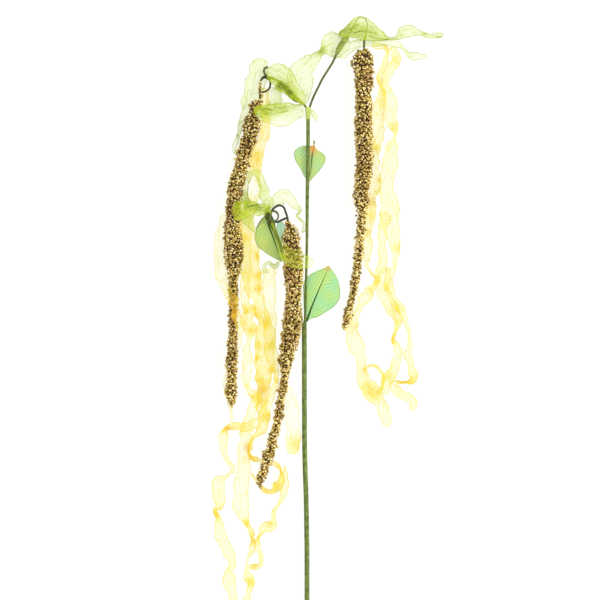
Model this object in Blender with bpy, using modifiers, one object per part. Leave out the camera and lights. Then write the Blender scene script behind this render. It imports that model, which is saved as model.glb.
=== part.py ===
"""Hanging amaranth spray of beaded drops and organza ribbons, laid flat on a surface.

Places are millimetres on a plan seen from above, right and down from the plan's corner, with
the height above the surface. The surface is z = 0. World +X is right and world +Y is up the plan.
"""

import math
import random

import bmesh
import bpy
from mathutils import Vector

MM = 0.001

# The plan's spot that lies at the world's origin, the middle of the spray's outline
PLAN_RIGHT = 328.2
PLAN_DOWN = 398.0

# Stem, branches and hooks: radii and tape thicknesses
STEM_RADIUS = 2.55
UPPER_STEM_RADIUS = 1.9
STEM_TAPE = 0.4
SLEEVE_RADIUS = 2.6
SLEEVE_TAPE = 0.4
BRANCH_RADIUS = 1.15
BRANCH_TAPE = 0.3
BINDING_BORE = 1.45
WIRE_RADIUS = 0.5
HOOK_RADIUS = 1.0
CLEARANCE = 0.3
BEND_STEP = 5.0

# Beaded drops
BEAD_SIDES = 15
BEAD_RING_STEP = 3.9
BEAD_RISE = 2.2
BEAD_SPREAD = 0.8
FULL_BEAD_RADIUS = 6.0
SOCKET_REACH = 3.0

# Organza and leaves
ORGANZA = 0.6
RIBBON_STEP = 8.0
LEAF_THICKNESS = 0.8
LEAF_ARCH = 0.6
LEAF_FULL_HALF = 4.0

# Looks: colour, roughness, metallic
TAPE_GREEN = ((0.075, 0.105, 0.018), 0.8, 0.0)
BINDING_GREEN = ((0.045, 0.075, 0.012), 0.8, 0.0)
WIRE_STEEL = ((0.30, 0.30, 0.29), 0.35, 1.0)
HOOK_GREEN = ((0.03, 0.045, 0.02), 0.6, 0.0)
BEAD_GOLD = ((0.26, 0.17, 0.05), 0.35, 0.8)
LEAF_GREEN = ((0.13, 0.42, 0.12), 0.6, 0.0)
ORGANZA_GREEN = ((0.42, 0.56, 0.12), 0.5, 0.0)
ORGANZA_YELLOW = ((0.95, 0.72, 0.25), 0.5, 0.0)

# Stem centre lines: right, down, height
LOWER_STEM = [
    (307.0, 780, 2.7), (307.0, 575, 2.7), (306.8, 540, 2.7), (306.0, 500, 2.7),
    (304.4, 455, 2.7), (304.0, 400, 2.7), (304.0, 345, 2.9), (304.2, 323, 3.6),
]
UPPER_STEM = [
    (305.1, 320.5, 4.2), (305.4, 305, 4.7), (306.1, 280, 5.3), (306.9, 245, 5.8),
    (307.4, 190, 6.0), (308.0, 160, 6.0), (308.0, 112, 6.0),
]

# Branch centre lines, from the stem to the tip
BRANCH_RIGHT = [
    (309.6, 108.2, 6.0), (311.2, 103, 6.0), (314.5, 95, 6.0), (318.5, 87, 6.0), (322.5, 79, 6.0),
    (327.5, 71, 6.0), (332.5, 63, 6.0), (336.0, 55.5, 6.0), (339.0, 49, 6.0), (342.5, 43, 6.0),
    (346.5, 38, 6.0), (350.0, 33, 6.0), (353.5, 27, 6.0), (355.5, 22, 6.0), (358.0, 18.5, 6.0),
    (361.5, 17.2, 6.0), (365.0, 18.8, 6.0), (366.8, 23, 6.0), (367.0, 28.5, 6.0),
    (366.0, 34, 6.3), (364.4, 40, 6.8), (364.0, 46, 7.2), (364.0, 56, 7.2),
]
BRANCH_LEFT = [
    (306.2, 108.2, 6.0), (304.5, 105.5, 6.0), (301.0, 102.5, 6.0), (296.0, 99.5, 6.0),
    (290.5, 95, 6.0), (286.0, 88.5, 6.0), (281.0, 83, 6.0), (276.0, 80, 6.0), (271.0, 78.3, 6.0),
    (267.0, 76.3, 6.0), (264.4, 73.3, 6.0), (264.2, 70, 6.0), (265.8, 67.9, 6.0), (268.2, 67.6, 6.0),
]
BRANCH_LOWER = [
    (301.9, 320.3, 2.4), (299.5, 308, 2.2), (295.5, 296, 1.8), (291.5, 284, 1.6),
    (287.5, 271, 1.9), (284.0, 258, 2.9), (280.5, 246, 4.2), (276.5, 235.5, 5.1),
    (273.0, 225.5, 5.7), (270.6, 218.5, 6.0), (270.0, 213.8, 6.0), (272.5, 211.2, 6.0),
    (276.4, 212.2, 6.0), (278.4, 216, 6.0), (277.0, 219.8, 6.0),
]

# Each wire's way up inside the stem, to where its branch starts
WIRE_RIGHT_IN_STEM = [
    (307.8, 780, 3.0), (307.8, 575, 3.0), (307.6, 540, 3.0), (306.8, 500, 3.0), (305.2, 455, 3.0),
    (304.8, 400, 3.0), (304.8, 345, 3.2), (305.5, 323, 3.95), (306.05, 305, 4.7),
    (306.75, 280, 5.3), (307.55, 245, 5.8), (308.05, 190, 6.0), (308.65, 160, 6.0), (308.65, 112, 6.0),
]
WIRE_LEFT_IN_STEM = [
    (306.3, 780, 3.2), (306.3, 575, 3.2), (306.1, 540, 3.2), (305.3, 500, 3.2), (303.7, 455, 3.2),
    (303.3, 400, 3.2), (303.3, 345, 3.4), (304.3, 323, 4.0), (304.75, 305, 4.7),
    (305.45, 280, 5.3), (306.25, 245, 5.8), (306.75, 190, 6.0), (307.35, 160, 6.0), (307.35, 112, 6.0),
]
WIRE_LOWER_IN_STEM = [
    (306.9, 780, 1.85), (306.9, 575, 1.85), (306.7, 540, 1.85), (305.9, 500, 1.85),
    (304.3, 455, 1.85), (303.9, 400, 1.85), (303.9, 345, 2.05), (302.95, 323, 2.8),
]

# Bindings wound round the branches: first and last point of the smoothed branch, and radius
BINDING_RIGHT = (13, 16, 2.9)
BINDING_LEFT = (3, 6, 2.9)
BINDING_LOWER = (21, 22, 2.5)

# The fork's sleeve sits on the upper stem
SLEEVE = [(308.0, 119, 6.0), (308.0, 112.5, 6.0)]

# Hooks that hold two of the drops, from inside the drop
HOOK_LEFT = [
    (259.6, 110, 8.3), (260.0, 104, 8.2), (260.0, 98, 7.8), (260.0, 92, 6.6), (260.0, 86, 5.0),
    (261.0, 80.5, 3.9), (264.0, 77.3, 3.3), (267.6, 77.6, 3.2), (269.9, 81, 3.3),
    (270.3, 85.5, 3.6), (268.8, 89.3, 4.0), (265.6, 91.6, 4.4), (262.9, 92.4, 4.6),
]
HOOK_MIDDLE = [
    (290.0, 232.5, 8.8), (288.6, 227.5, 7.6), (287.6, 223, 6.6), (287.2, 218.5, 5.6),
    (286.0, 212.5, 4.6), (283.0, 207.5, 3.8), (279.3, 205.6, 3.4), (275.5, 207, 3.3),
    (272.0, 211.5, 3.1), (271.5, 216.5, 2.8), (273.8, 221, 2.8), (277.8, 222.8, 3.4),
    (282.0, 221.8, 4.2), (284.2, 220.8, 4.8),
]

# Beaded drops: right, down, height of the centre, radius
DROP_RIGHT = [
    (364.0, 50, 7.2, 5.0), (364.0, 56, 7.2, 10.0), (364.5, 68, 7.2, 10.5), (365.0, 80, 7.4, 9.0),
    (364.5, 100, 7.6, 8.6), (364.3, 120, 7.8, 8.8), (365.0, 140, 7.8, 9.0), (365.0, 160, 7.6, 8.6),
    (363.5, 175, 7.2, 8.2), (362.0, 190, 7.0, 7.8), (361.5, 204, 6.2, 7.2), (361.8, 214, 3.9, 4.6),
    (360.5, 230, 4.0, 4.8), (359.0, 250, 4.2, 5.0), (356.8, 272, 3.9, 4.7), (354.5, 286, 3.8, 4.5),
    (351.8, 300, 3.7, 4.4), (348.8, 311, 3.8, 4.6), (346.5, 321, 4.0, 4.8), (344.5, 329, 3.0, 2.6),
]
DROP_LEFT = [
    (260.0, 99, 7.9, 3.0), (257.0, 105, 8.4, 6.0), (254.5, 112, 8.2, 5.4), (253.0, 119, 9.2, 7.5),
    (252.5, 127, 9.8, 10.5), (252.0, 135, 9.0, 10.0), (248.5, 142, 8.4, 9.5), (245.0, 151, 7.2, 8.0),
    (242.5, 160, 6.8, 7.5), (240.0, 172, 6.6, 7.3), (236.5, 182, 7.1, 8.0), (235.0, 193, 7.0, 7.8),
    (233.7, 205, 6.4, 7.2), (233.5, 220, 7.0, 7.8), (233.0, 235, 7.7, 8.7), (234.0, 252, 8.0, 9.0),
    (233.5, 265, 7.8, 8.8), (233.0, 276, 4.8, 5.5), (233.5, 288, 4.0, 4.8), (233.0, 310, 4.1, 5.0),
    (233.0, 328, 4.4, 5.0), (232.2, 345, 6.8, 5.2), (232.0, 363, 7.5, 5.8), (232.0, 380, 7.1, 5.4),
    (231.0, 393, 7.4, 5.8), (231.5, 401, 6.0, 4.6), (232.0, 406, 4.4, 2.0),
]
DROP_MIDDLE = [
    (287.5, 223, 6.6, 3.0), (288.8, 227, 7.6, 4.5), (290.8, 233, 9.6, 7.5), (290.5, 241, 11.0, 8.5),
    (292.5, 250, 11.9, 8.5), (293.0, 262, 12.2, 9.3), (293.0, 272, 12.4, 9.5), (293.5, 280, 12.2, 8.8),
    (294.0, 290, 12.0, 8.0), (292.5, 302, 12.0, 8.0), (293.0, 312, 12.2, 9.0), (292.5, 322, 12.2, 9.2),
    (291.0, 332, 11.4, 9.0), (290.0, 342, 10.0, 8.5), (287.0, 351, 8.6, 8.0), (286.0, 361, 6.8, 7.2),
    (285.0, 371, 4.4, 5.0), (284.0, 382, 3.8, 4.5), (282.5, 393, 3.8, 4.6), (280.5, 403, 3.7, 4.5),
    (279.0, 414, 3.9, 4.8), (277.0, 424, 4.0, 4.7), (273.5, 437, 4.6, 5.0), (271.5, 447, 5.8, 5.0),
    (268.5, 456, 7.6, 5.8), (265.5, 465, 6.8, 4.8), (262.0, 475, 6.8, 5.0), (260.5, 484, 5.6, 3.2),
    (260.8, 487.5, 4.8, 1.4),
]

# Leaves: right, down, height, width to the left and to the right of the midrib on the way to the tip
LEAVES = {
    "leaf_upper": [
        (310.9, 139, 5.6, 0.6, 0.6), (313.0, 141.5, 4.4, 0.8, 0.8), (313.8, 145, 3.2, 1.0, 1.0),
        (313.0, 149, 2.4, 4.5, 12.0), (312.5, 152, 2.2, 10.5, 17.0), (312.0, 156, 2.2, 13.5, 18.0),
        (311.5, 161, 2.2, 13.5, 16.5), (311.0, 166, 2.2, 11.0, 13.5), (310.3, 171, 2.2, 8.0, 9.5),
        (309.5, 176, 2.1, 4.5, 6.0), (308.9, 180, 2.0, 2.0, 2.5), (308.4, 182, 2.0, 0.6, 0.6),
    ],
    "leaf_big": [
        (306.0, 322, 1.2, 0.8, 0.8), (307.5, 318.5, 1.3, 1.5, 2.5), (309.0, 314, 1.5, 5.0, 9.0),
        (312.0, 306, 1.8, 9.0, 15.5), (315.3, 298, 1.8, 12.8, 20.8), (319.0, 289, 1.8, 16.5, 22.5),
        (322.5, 281, 1.8, 14.5, 19.0), (325.5, 274, 1.8, 8.5, 13.0), (327.3, 269.5, 1.8, 3.5, 6.5),
        (328.5, 266, 1.8, 0.6, 0.6),
    ],
    "leaf_knot": [
        (270.0, 217.5, 2.4, 0.8, 0.8), (267.5, 217.8, 2.5, 1.2, 1.2), (265.2, 220, 2.7, 3.0, 3.5),
        (265.0, 226, 2.9, 5.5, 9.0), (267.0, 233, 2.9, 7.0, 13.0), (269.5, 240, 2.7, 7.5, 13.0),
        (273.0, 247, 2.2, 7.0, 10.0), (277.0, 254, 1.6, 5.5, 6.0), (280.0, 259, 1.2, 3.0, 2.5),
        (281.3, 261.6, 1.1, 0.6, 0.6),
    ],
    "leaf_small": [
        (279.6, 221, 1.4, 1.0, 1.0), (280.4, 224.5, 1.4, 3.4, 3.4), (281.0, 229, 1.4, 4.4, 4.6),
        (281.3, 234, 1.4, 4.4, 4.6), (281.0, 239, 1.4, 2.6, 2.8), (280.6, 243, 1.3, 0.6, 0.6),
    ],
}

# Green ribbons: right, down, rise of the lower edge, turn in degrees, width
GREEN_RIBBONS = {
    "green_canopy_right": [
        (338.5, 35, 9.3, 0, 5), (344, 33, 9.3, 0, 11), (351, 31, 9.3, 0, 15), (359, 29.5, 8.4, 0, 18),
        (367, 30.5, 8.2, 0, 19), (375, 33.5, 8, 0, 14), (382, 37, 7, 20, 8), (390, 38.8, 4, 50, 5),
        (397, 37.5, 2, 30, 7), (404, 33.5, 1, 10, 10), (411, 31, 0.6, 0, 10), (417.5, 31.5, 0.5, 20, 8),
        (423, 34.5, 0.5, 40, 5), (429, 36.5, 0.5, 30, 7), (436, 36, 0.5, 20, 7), (443.5, 35, 0.5, 30, 5),
    ],
    "green_ruffle_right": [
        (350, 40, 0.5, 0, 12), (342, 43, 0.5, 0, 20), (333, 46, 0.5, 0, 26), (326, 49, 0.6, 15, 18),
        (321, 52.5, 0.5, 50, 9), (315.5, 56.5, 0.5, 35, 10), (311.5, 64, 0.5, 15, 13),
        (309.5, 75, 0.5, 5, 14), (308, 87, 0.5, 0, 15), (304.5, 97, 0.5, 0, 14), (301, 105, 0.5, 0, 12),
    ],
    "green_tail_right": [
        (340, 58, 1.7, 0, 6), (345, 52, 1.7, 0, 10), (351, 46.5, 1.7, 0, 10), (358, 44, 1.7, 0, 8),
        (366, 43.5, 1.7, 0, 7), (375, 43, 2.4, 0, 7), (384, 43, 2.9, 0, 6), (393, 43.5, 2.9, 0, 6),
        (400, 45.5, 1.6, 20, 6), (404.5, 51, 0.6, 40, 5), (410.5, 55.5, 0.5, 20, 7),
        (418.5, 57, 0.5, 10, 6), (427, 56, 0.5, 20, 3),
    ],
    "green_band_left": [
        (304.5, 105, 8.2, 0, 6), (298.5, 97.5, 9.5, 0, 11), (291, 88.5, 9.6, 0, 12),
        (283.5, 80, 9.5, 0, 12), (276, 73.5, 8.6, 0, 10), (270, 70.5, 7.8, 0, 6),
    ],
    "green_sheet_left": [
        (267, 61, 0.5, 0, 8), (261, 67, 0.5, 0, 18), (257.5, 77, 0.5, 0, 20), (254, 88, 0.5, 0, 20),
        (250, 98, 0.5, 0, 16), (246.5, 107, 0.5, 0, 10), (243.7, 114, 0.5, 10, 6),
        (241.2, 122, 0.5, 30, 5), (239.5, 130, 0.5, 40, 5), (237.5, 138, 0.5, 40, 5),
        (234.2, 146, 0.5, 20, 5), (234.3, 154, 0.5, 50, 5),
    ],
    "green_veil_left": [
        (303.5, 111, 4.25, 0, 15), (295, 112, 3.7, 0, 17), (285, 114.5, 5.2, 0, 22),
        (275, 115.5, 9, 0, 22), (266, 113.5, 13.5, 0, 18), (259, 112, 16.5, 0, 12), (254, 112, 17, 0, 5),
    ],
    "green_drip_left": [(276, 87, 0.5, 0, 11), (276, 97, 0.5, 0, 13), (275.5, 106, 0.5, 0, 12)],
    "green_wing_middle": [
        (271, 213.5, 7.75, 0, 6), (265, 212, 8.4, 0, 9), (259, 210, 11.5, 0, 12), (253, 209.5, 14.5, 0, 14),
        (247, 209.5, 16.6, 0, 15), (239, 211, 17, 0, 17), (232.5, 212, 16.8, 0, 12),
    ],
    "green_strand_middle": [
        (247, 219.5, 4.5, 0, 7), (250.5, 224, 3.9, 0, 8), (254, 228.5, 3.8, 0, 7), (258, 233, 4.1, 0, 3),
    ],
    "green_arch_middle": [
        (247, 205, 2.9, 20, 6), (245.5, 197, 2.9, 35, 6), (245.5, 188, 2.9, 40, 6),
        (248.5, 178, 2.9, 40, 6), (254, 172.5, 2.9, 20, 6), (259.5, 176.5, 2.9, 40, 6),
        (263.5, 186, 2.9, 40, 6), (266, 197, 2.9, 35, 6), (268, 207, 2.9, 20, 6),
    ],
    "green_crest_middle": [
        (269, 207, 2.0, 0, 5), (272.5, 201.5, 0.9, 0, 9), (278.5, 196.5, 0.5, 0, 12),
        (285, 194.5, 0.5, 0, 10), (291, 198, 0.5, 40, 6), (297, 204, 0.5, 45, 5),
        (300.5, 210, 0.5, 45, 5), (297, 214.5, 0.5, 40, 5), (298, 219, 0.5, 40, 5),
        (302, 224.5, 0.5, 45, 4), (301.5, 230.5, 0.5, 45, 4),
    ],
    "green_drape_middle": [
        (270.5, 222, 9.2, 0, 6), (273.5, 231, 11, 0, 9), (276.8, 240, 15, 0, 11.5),
        (282, 247, 19.5, 0, 13), (287, 253, 22.6, 0, 14), (294, 259.5, 23.2, 0, 14),
        (300.5, 262.8, 22, 0, 14), (306, 264, 14, 0, 13), (310, 264.5, 9, 0, 11), (314, 265, 6.5, 0, 7),
    ],
    "green_curl_middle": [
        (279, 261.5, 3.0, 0, 3), (276, 267, 2.2, 40, 4), (272.8, 265.5, 1.8, 40, 4),
        (268.5, 262.5, 1.8, 40, 4), (264.5, 265, 1.8, 40, 4), (264.2, 270, 1.8, 40, 4),
        (268.5, 273, 1.8, 30, 3),
    ],
    "green_loop_fork": [
        (311.2, 112, 5, 0, 3), (314.5, 114, 5, 20, 3), (317, 117.5, 5, 30, 3), (314.8, 120, 5, 30, 3),
        (312, 118.5, 5, 20, 3),
    ],
}

# Yellow streamers, in the same way
YELLOW_STREAMERS = {
    "streamer_left_outer": [
        (225.5, 214, 0.5, 15, 7), (222, 228, 0.5, 8, 11), (220.5, 242, 0.5, 5, 12),
        (220.5, 256, 0.5, 5, 12), (220.5, 268, 0.5, 10, 11), (221.5, 278, 0.7, -15, 10),
        (223.8, 287, 5.4, -10, 8), (229, 296, 10.7, 0, 8.5), (233, 307, 10.6, 0, 10),
        (234.5, 317, 10.6, 0, 9), (239.5, 324, 7.5, 40, 7), (242, 332, 1.2, 35, 6),
        (239.5, 341, 0.5, 20, 6), (235, 349, 0.5, 0, 8), (231, 362, 0.5, 0, 9),
        (228.5, 376, 0.5, 0, 9), (226.5, 387, 0.5, 0, 9), (229, 397, 0.5, 0, 6),
        (230.5, 407, 0.5, 30, 4), (231.5, 415, 0.5, 40, 3), (231.5, 421, 0.5, 40, 3),
    ],
    "streamer_left_main": [
        (264, 88, 1.7, 0, 7), (264.5, 100, 1.7, 0, 8), (265, 114, 1.2, 10, 9), (265.5, 128, 0.5, 15, 9),
        (263.5, 139, 0.5, 0, 10), (258.5, 150, 0.5, 0, 12), (255, 162, 0.5, 0, 13),
        (254, 176, 0.5, 0, 13), (254, 190, 0.5, 0, 13), (251, 204, 0.5, 0, 12),
        (247.5, 218, 0.5, 0, 12), (247.5, 232, 0.5, 0, 13), (250, 246, 0.5, 0, 14),
        (252, 262, 0.5, 0, 15), (253, 278, 0.5, 0, 15), (255, 294, 0.5, 0, 14), (259, 308, 0.5, 0, 13),
        (263, 320, 0.5, 0, 14), (266, 334, 0.5, 0, 15), (266, 348, 0.5, 0, 16), (264.5, 360, 0.5, 0, 15),
        (262.5, 372, 0.5, -20, 13), (262, 384, 0.5, -25, 9), (260.5, 396, 0.5, 0, 9),
        (262, 408, 0.5, 0, 11), (264, 420, 0.5, 0, 12), (261, 430, 0.5, 0, 9),
        (254.5, 436, 1.6, 40, 6), (249.5, 443, 1.7, 60, 5), (248.3, 451, 1.7, 60, 5),
        (252, 458, 1.5, 45, 6), (259, 460.5, 0.5, 0, 5), (267, 461, 0.5, 0, 5), (275, 463.5, 0.5, 20, 5),
        (280, 470, 0.5, 50, 6), (280.5, 479, 0.5, 50, 7), (277, 486.5, 0.5, 20, 8),
        (270.5, 491, 0.5, 40, 6), (263.5, 489.5, 0.5, 0, 4), (258, 483.5, 0.5, 0, 4),
        (254, 477.5, 0.5, 30, 4), (252, 472.5, 0.5, 30, 3),
    ],
    "streamer_left_long": [
        (268.5, 268, 0.5, 0, 10), (269.5, 280, 0.5, 0, 13), (269.5, 294, 0.9, 0, 13),
        (270, 308, 1.7, 0, 12), (270.5, 322, 1.7, 0, 12), (270, 336, 1.7, 0, 12), (270.5, 350, 1.7, 0, 12),
        (272.5, 362, 1.7, 10, 10), (275.3, 372, 1.7, 35, 8), (275.8, 381, 1.7, 45, 7),
        (273, 389, 1.7, 40, 8), (270, 397, 1.7, 30, 8), (267, 406, 1.7, 20, 9), (262.5, 416, 2.6, 10, 9),
        (255, 423, 2.7, 0, 9), (246, 426.5, 2.6, 0, 8), (236.5, 426.5, 0.8, 15, 9),
        (228.5, 429.5, 0.5, 50, 8), (221.5, 437, 0.5, 30, 8), (220, 446, 0.5, 35, 7),
        (223, 455, 0.5, 50, 6), (228, 464, 0.5, 40, 7), (231.5, 471, 0.5, 45, 6),
        (228, 476.5, 0.5, 60, 5), (221.5, 480, 0.5, 20, 9), (218.5, 487, 0.5, 0, 12),
        (219, 497, 0.5, 5, 12), (218.5, 505, 0.5, 45, 9), (214.8, 511, 0.5, 50, 6),
        (218.5, 518, 0.5, 45, 7), (219.5, 527, 0.5, 15, 11), (221, 537, 0.5, 0, 12),
        (226, 547, 0.5, 0, 12), (231, 556, 0.5, 10, 12), (232.5, 564, 0.5, 45, 8),
        (229.5, 571, 0.5, 30, 9), (230, 581, 0.5, 0, 13), (232, 592, 0.5, 5, 12),
        (234.5, 602, 0.5, 20, 10), (237, 612, 0.5, 35, 8), (239, 621, 0.5, 20, 4),
    ],
    "streamer_left_centre": [
        (249, 206, 1.7, 0, 8), (245.5, 218, 1.7, 0, 8), (245, 232, 1.7, 0, 9), (246.5, 246, 1.7, 0, 9),
        (247.5, 262, 1.7, 0, 9), (246, 278, 1.7, 0, 8), (246, 292, 1.7, 0, 7), (249, 305, 1.7, 0, 7),
        (251.5, 318, 1.7, 0, 7), (252, 330, 1.7, 0, 8), (251, 342, 1.4, 0, 8), (249, 352, 0.5, 0, 12),
        (248.5, 366, 0.5, 0, 12), (249, 378, 0.5, 20, 11), (251.5, 388, 1.4, 30, 8),
        (255.5, 396, 1.7, 0, 8), (253, 408, 1.6, 0, 9), (249.5, 420, 1.5, 0, 9), (246.5, 432, 0.6, 0, 12),
        (245.5, 446, 0.5, 0, 13), (244, 460, 0.5, 0, 13), (242.5, 474, 0.5, 0, 15), (241.5, 488, 0.5, 0, 16),
        (241, 500, 0.5, 0, 15), (241.5, 512, 0.5, 25, 13), (245.5, 522, 0.5, 50, 9),
        (250, 531, 0.5, 55, 7), (252.5, 540, 0.5, 50, 7), (252.5, 548, 0.5, 30, 6),
        (248.5, 556, 0.5, 50, 5), (246.5, 564, 0.5, 50, 5), (247.5, 574, 0.5, 20, 9),
        (250.5, 583, 0.5, 30, 9), (247.5, 592, 0.5, 35, 8), (245.5, 601, 0.5, 20, 8),
        (246.5, 611, 0.5, 20, 8), (249, 621, 0.5, 30, 5),
    ],
    "streamer_middle_tail": [
        (284.8, 466, 0.5, 0, 2.5), (285.6, 476, 0.5, 10, 5), (285.3, 487, 0.5, 10, 7),
        (282, 497, 0.5, 30, 7), (277, 505, 0.5, 50, 6), (273, 512.5, 0.5, 50, 5),
        (273.2, 519, 0.5, 50, 6), (270, 526, 0.5, 10, 12), (263.8, 528, 0.5, 30, 9),
        (260.8, 535, 0.5, 55, 6), (259.5, 542, 0.5, 50, 6), (259.8, 549, 0.5, 20, 6),
        (261.8, 557, 0.5, 45, 6), (261, 563.5, 0.5, 40, 6), (256, 566.5, 0.5, 20, 6), (251.5, 566, 0.5, 20, 4),
    ],
    "streamer_middle_side": [
        (289.4, 385.5, 0.5, 0, 3.4), (291, 396, 0.5, 0, 7), (292.5, 408, 0.5, 0, 9), (294, 420, 0.5, 0, 9),
        (295, 431, 0.5, 10, 10), (295.2, 440, 0.5, 20, 11), (294.5, 449, 0.5, 30, 11),
        (294.5, 454, 0.5, 40, 9),
    ],
    "streamer_right_inner": [
        (372, 46, 0.5, 0, 5), (380, 46.5, 0.5, 0, 6), (386.5, 50, 0.5, 40, 6), (386.5, 57, 0.5, 45, 6),
        (383.5, 65, 0.5, 40, 7), (380.5, 73, 0.5, 35, 8), (379.8, 81, 0.5, 40, 7), (381.5, 89, 0.5, 50, 5),
        (382, 97, 0.5, 0, 7), (382.5, 106, 0.5, 0, 7), (381, 115, 0.5, 0, 8), (378, 122, 0.5, 0, 9),
        (378, 132, 0.5, 0, 9), (378.3, 142, 0.5, -25, 8), (377.3, 152, 0.5, -40, 7),
        (377, 162, 0.5, -40, 6), (378, 172, 0.5, -40, 6), (378.5, 182, 0.5, -45, 6),
        (377.8, 191, 0.5, -45, 7), (374.6, 199, 0.5, -40, 7), (372, 207, 0.5, 0, 7), (371, 217, 0.5, 0, 7),
        (369.5, 228, 0.5, -20, 8), (368.8, 240, 0.5, 0, 8), (368.2, 251, 0.5, 0, 8),
        (366.5, 260, 0.5, -30, 6), (367, 268, 0.5, 50, 4), (371.5, 274, 0.5, 50, 4),
    ],
    "streamer_right_outer": [
        (391, 48, 0.5, 0, 4), (394, 51, 0.5, 20, 6), (395.8, 56, 0.5, 30, 7), (395.5, 63, 0.5, 30, 8),
        (392, 71, 0.5, 20, 9), (388.5, 79, 0.5, 20, 8), (387, 88, 1.7, 20, 6), (388.5, 97, 1.7, 0, 9),
        (390.5, 107, 1.7, 0, 11), (393, 117, 1.7, 0, 11), (394.5, 126, 1.2, 10, 8),
        (395.3, 133, 0.5, 50, 5), (394.8, 141, 0.5, 40, 7), (392, 150, 0.5, 10, 12),
        (390, 160, 0.5, 0, 14), (388.5, 171, 0.5, 0, 12), (388.2, 182, 0.5, 0, 12),
        (388.5, 193, 0.5, 0, 13), (390, 203, 1.4, 0, 14), (391, 213, 1.7, 0, 14), (391, 224, 1.7, 0, 13),
        (393, 235, 1.7, 10, 11), (395, 246, 1.7, 20, 9), (395.5, 257, 1.7, 30, 7),
        (393.5, 267, 1.7, 30, 6), (390.5, 276, 1.7, 0, 9), (389, 288, 1.7, 0, 9), (390.5, 300, 1.7, 0, 9),
        (396, 308.5, 1.7, 0, 9), (402, 315.5, 1.4, 10, 6), (405.5, 323, 0.5, 40, 5),
        (408.5, 333, 0.5, 45, 5), (410, 344, 0.5, 40, 6), (409.5, 354, 0.5, 10, 9),
        (410, 364, 0.5, 40, 5), (412, 373, 0.5, 30, 6), (413.5, 380, 0.5, 30, 5), (407, 382.3, 0.5, 50, 5),
        (400, 382.5, 0.9, 30, 4), (394.5, 383.5, 1.7, 0, 3), (394, 388, 1.7, 0, 5), (398, 393.5, 1.7, 0, 7),
        (405, 395.5, 0.8, 10, 7), (411.5, 398.5, 0.5, 20, 6), (414, 404, 0.5, 30, 6),
        (411.5, 410.5, 0.5, 20, 4),
    ],
    "streamer_right_middle": [
        (389.5, 266, 0.5, 0, 5), (387.8, 276, 0.5, 0, 9), (386.5, 288, 0.5, 0, 11), (390, 300, 0.5, 0, 11),
        (395, 309, 0.5, 0, 10), (398, 318, 0.5, 0, 7), (398, 326, 0.5, 40, 6), (394.5, 334, 0.5, 45, 6),
        (392.5, 341.5, 0.5, 55, 4), (396.5, 348, 0.5, 30, 7), (397.8, 357, 0.5, 10, 9),
        (396, 366, 0.5, 20, 9), (392, 374, 0.5, 30, 8), (389.5, 381, 0.5, 0, 8), (388, 388, 0.5, 0, 8),
        (385.5, 394, 0.5, 0, 6),
    ],
    "streamer_right_low": [
        (387, 214, 0.5, 0, 8), (384.5, 226, 0.5, 0, 9), (381.5, 238, 0.5, 20, 8), (381.5, 250, 0.5, 10, 9),
        (383, 261, 0.5, 10, 8), (381, 269, 0.5, 40, 7), (376.8, 276.5, 0.5, 50, 5),
        (374.5, 284, 0.5, 45, 6), (370.5, 292.5, 0.5, 30, 9), (365, 300, 0.5, 20, 9),
        (360, 307.5, 0.5, 40, 6), (357, 316, 0.5, 10, 7), (355, 325, 0.5, 0, 8), (352.5, 334, 0.5, 0, 9),
        (354, 343, 0.5, 0, 13), (358, 352, 0.5, 0, 13), (362, 361, 0.5, 0, 11), (364.5, 370, 0.5, 0, 8),
        (366.5, 380, 0.5, 20, 10), (370.5, 389, 0.5, 0, 13), (376.5, 396, 0.5, 0, 12),
        (380.5, 404, 0.5, 0, 11), (384, 413, 0.5, 0, 12), (386.5, 421, 0.5, 0, 9), (388, 428, 0.5, 0, 4),
    ],
    "streamer_right_ring": [
        (363, 371, 2.3, 0, 5), (366.5, 367.3, 2.1, 0, 4), (372, 365.8, 1.5, 45, 4),
        (378, 368, 0.5, 50, 5), (382, 375, 0.5, 50, 5), (382.6, 383, 0.5, 45, 5),
        (381, 389.5, 1.4, 10, 4), (377.5, 393.5, 1.7, 0, 5),
    ],
}


def spot(right, down, height):
    """World place of a spot on the plan."""
    return Vector((right - PLAN_RIGHT, PLAN_DOWN - down, height)) * MM


def remove_all():
    for item in list(bpy.data.objects):
        bpy.data.objects.remove(item, do_unlink=True)


def make_collection(name):
    collection = bpy.data.collections.new(name)
    bpy.context.scene.collection.children.link(collection)
    return collection


def make_material(name, look):
    colour, roughness, metallic = look
    material = bpy.data.materials.new(name)
    material.use_nodes = True
    shader = material.node_tree.nodes["Principled BSDF"]
    shader.inputs["Base Color"].default_value = (*colour, 1.0)
    shader.inputs["Roughness"].default_value = roughness
    shader.inputs["Metallic"].default_value = metallic
    return material


def add_object(collection, name, data, look):
    data.materials.append(make_material(name + "_look", look))
    item = bpy.data.objects.new(name, data)
    collection.objects.link(item)
    return item


def mesh_from(shape, name):
    mesh = bpy.data.meshes.new(name)
    shape.to_mesh(mesh)
    shape.free()
    return mesh


def smooth(points, step):
    """Points of a Catmull-Rom curve through the given ones, about one step apart on the plan."""
    result = []
    last = len(points) - 1
    for index in range(last):
        before = points[max(index - 1, 0)]
        start = points[index]
        end = points[index + 1]
        after = points[min(index + 2, last)]
        parts = max(1, round(math.dist(start[:2], end[:2]) / step))
        for part in range(parts):
            t = part / parts
            result.append(tuple(
                0.5 * (2 * b + (c - a) * t + (2 * a - 5 * b + 4 * c - d) * t ** 2
                       + (3 * b - a - 3 * c + d) * t ** 3)
                for a, b, c, d in zip(before, start, end, after)))
    result.append(tuple(float(value) for value in points[-1]))
    return result


def directions(places):
    """Unit vectors along a list of places."""
    last = len(places) - 1
    return [(places[min(i + 1, last)] - places[max(i - 1, 0)]).normalized() for i in range(last + 1)]


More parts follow.
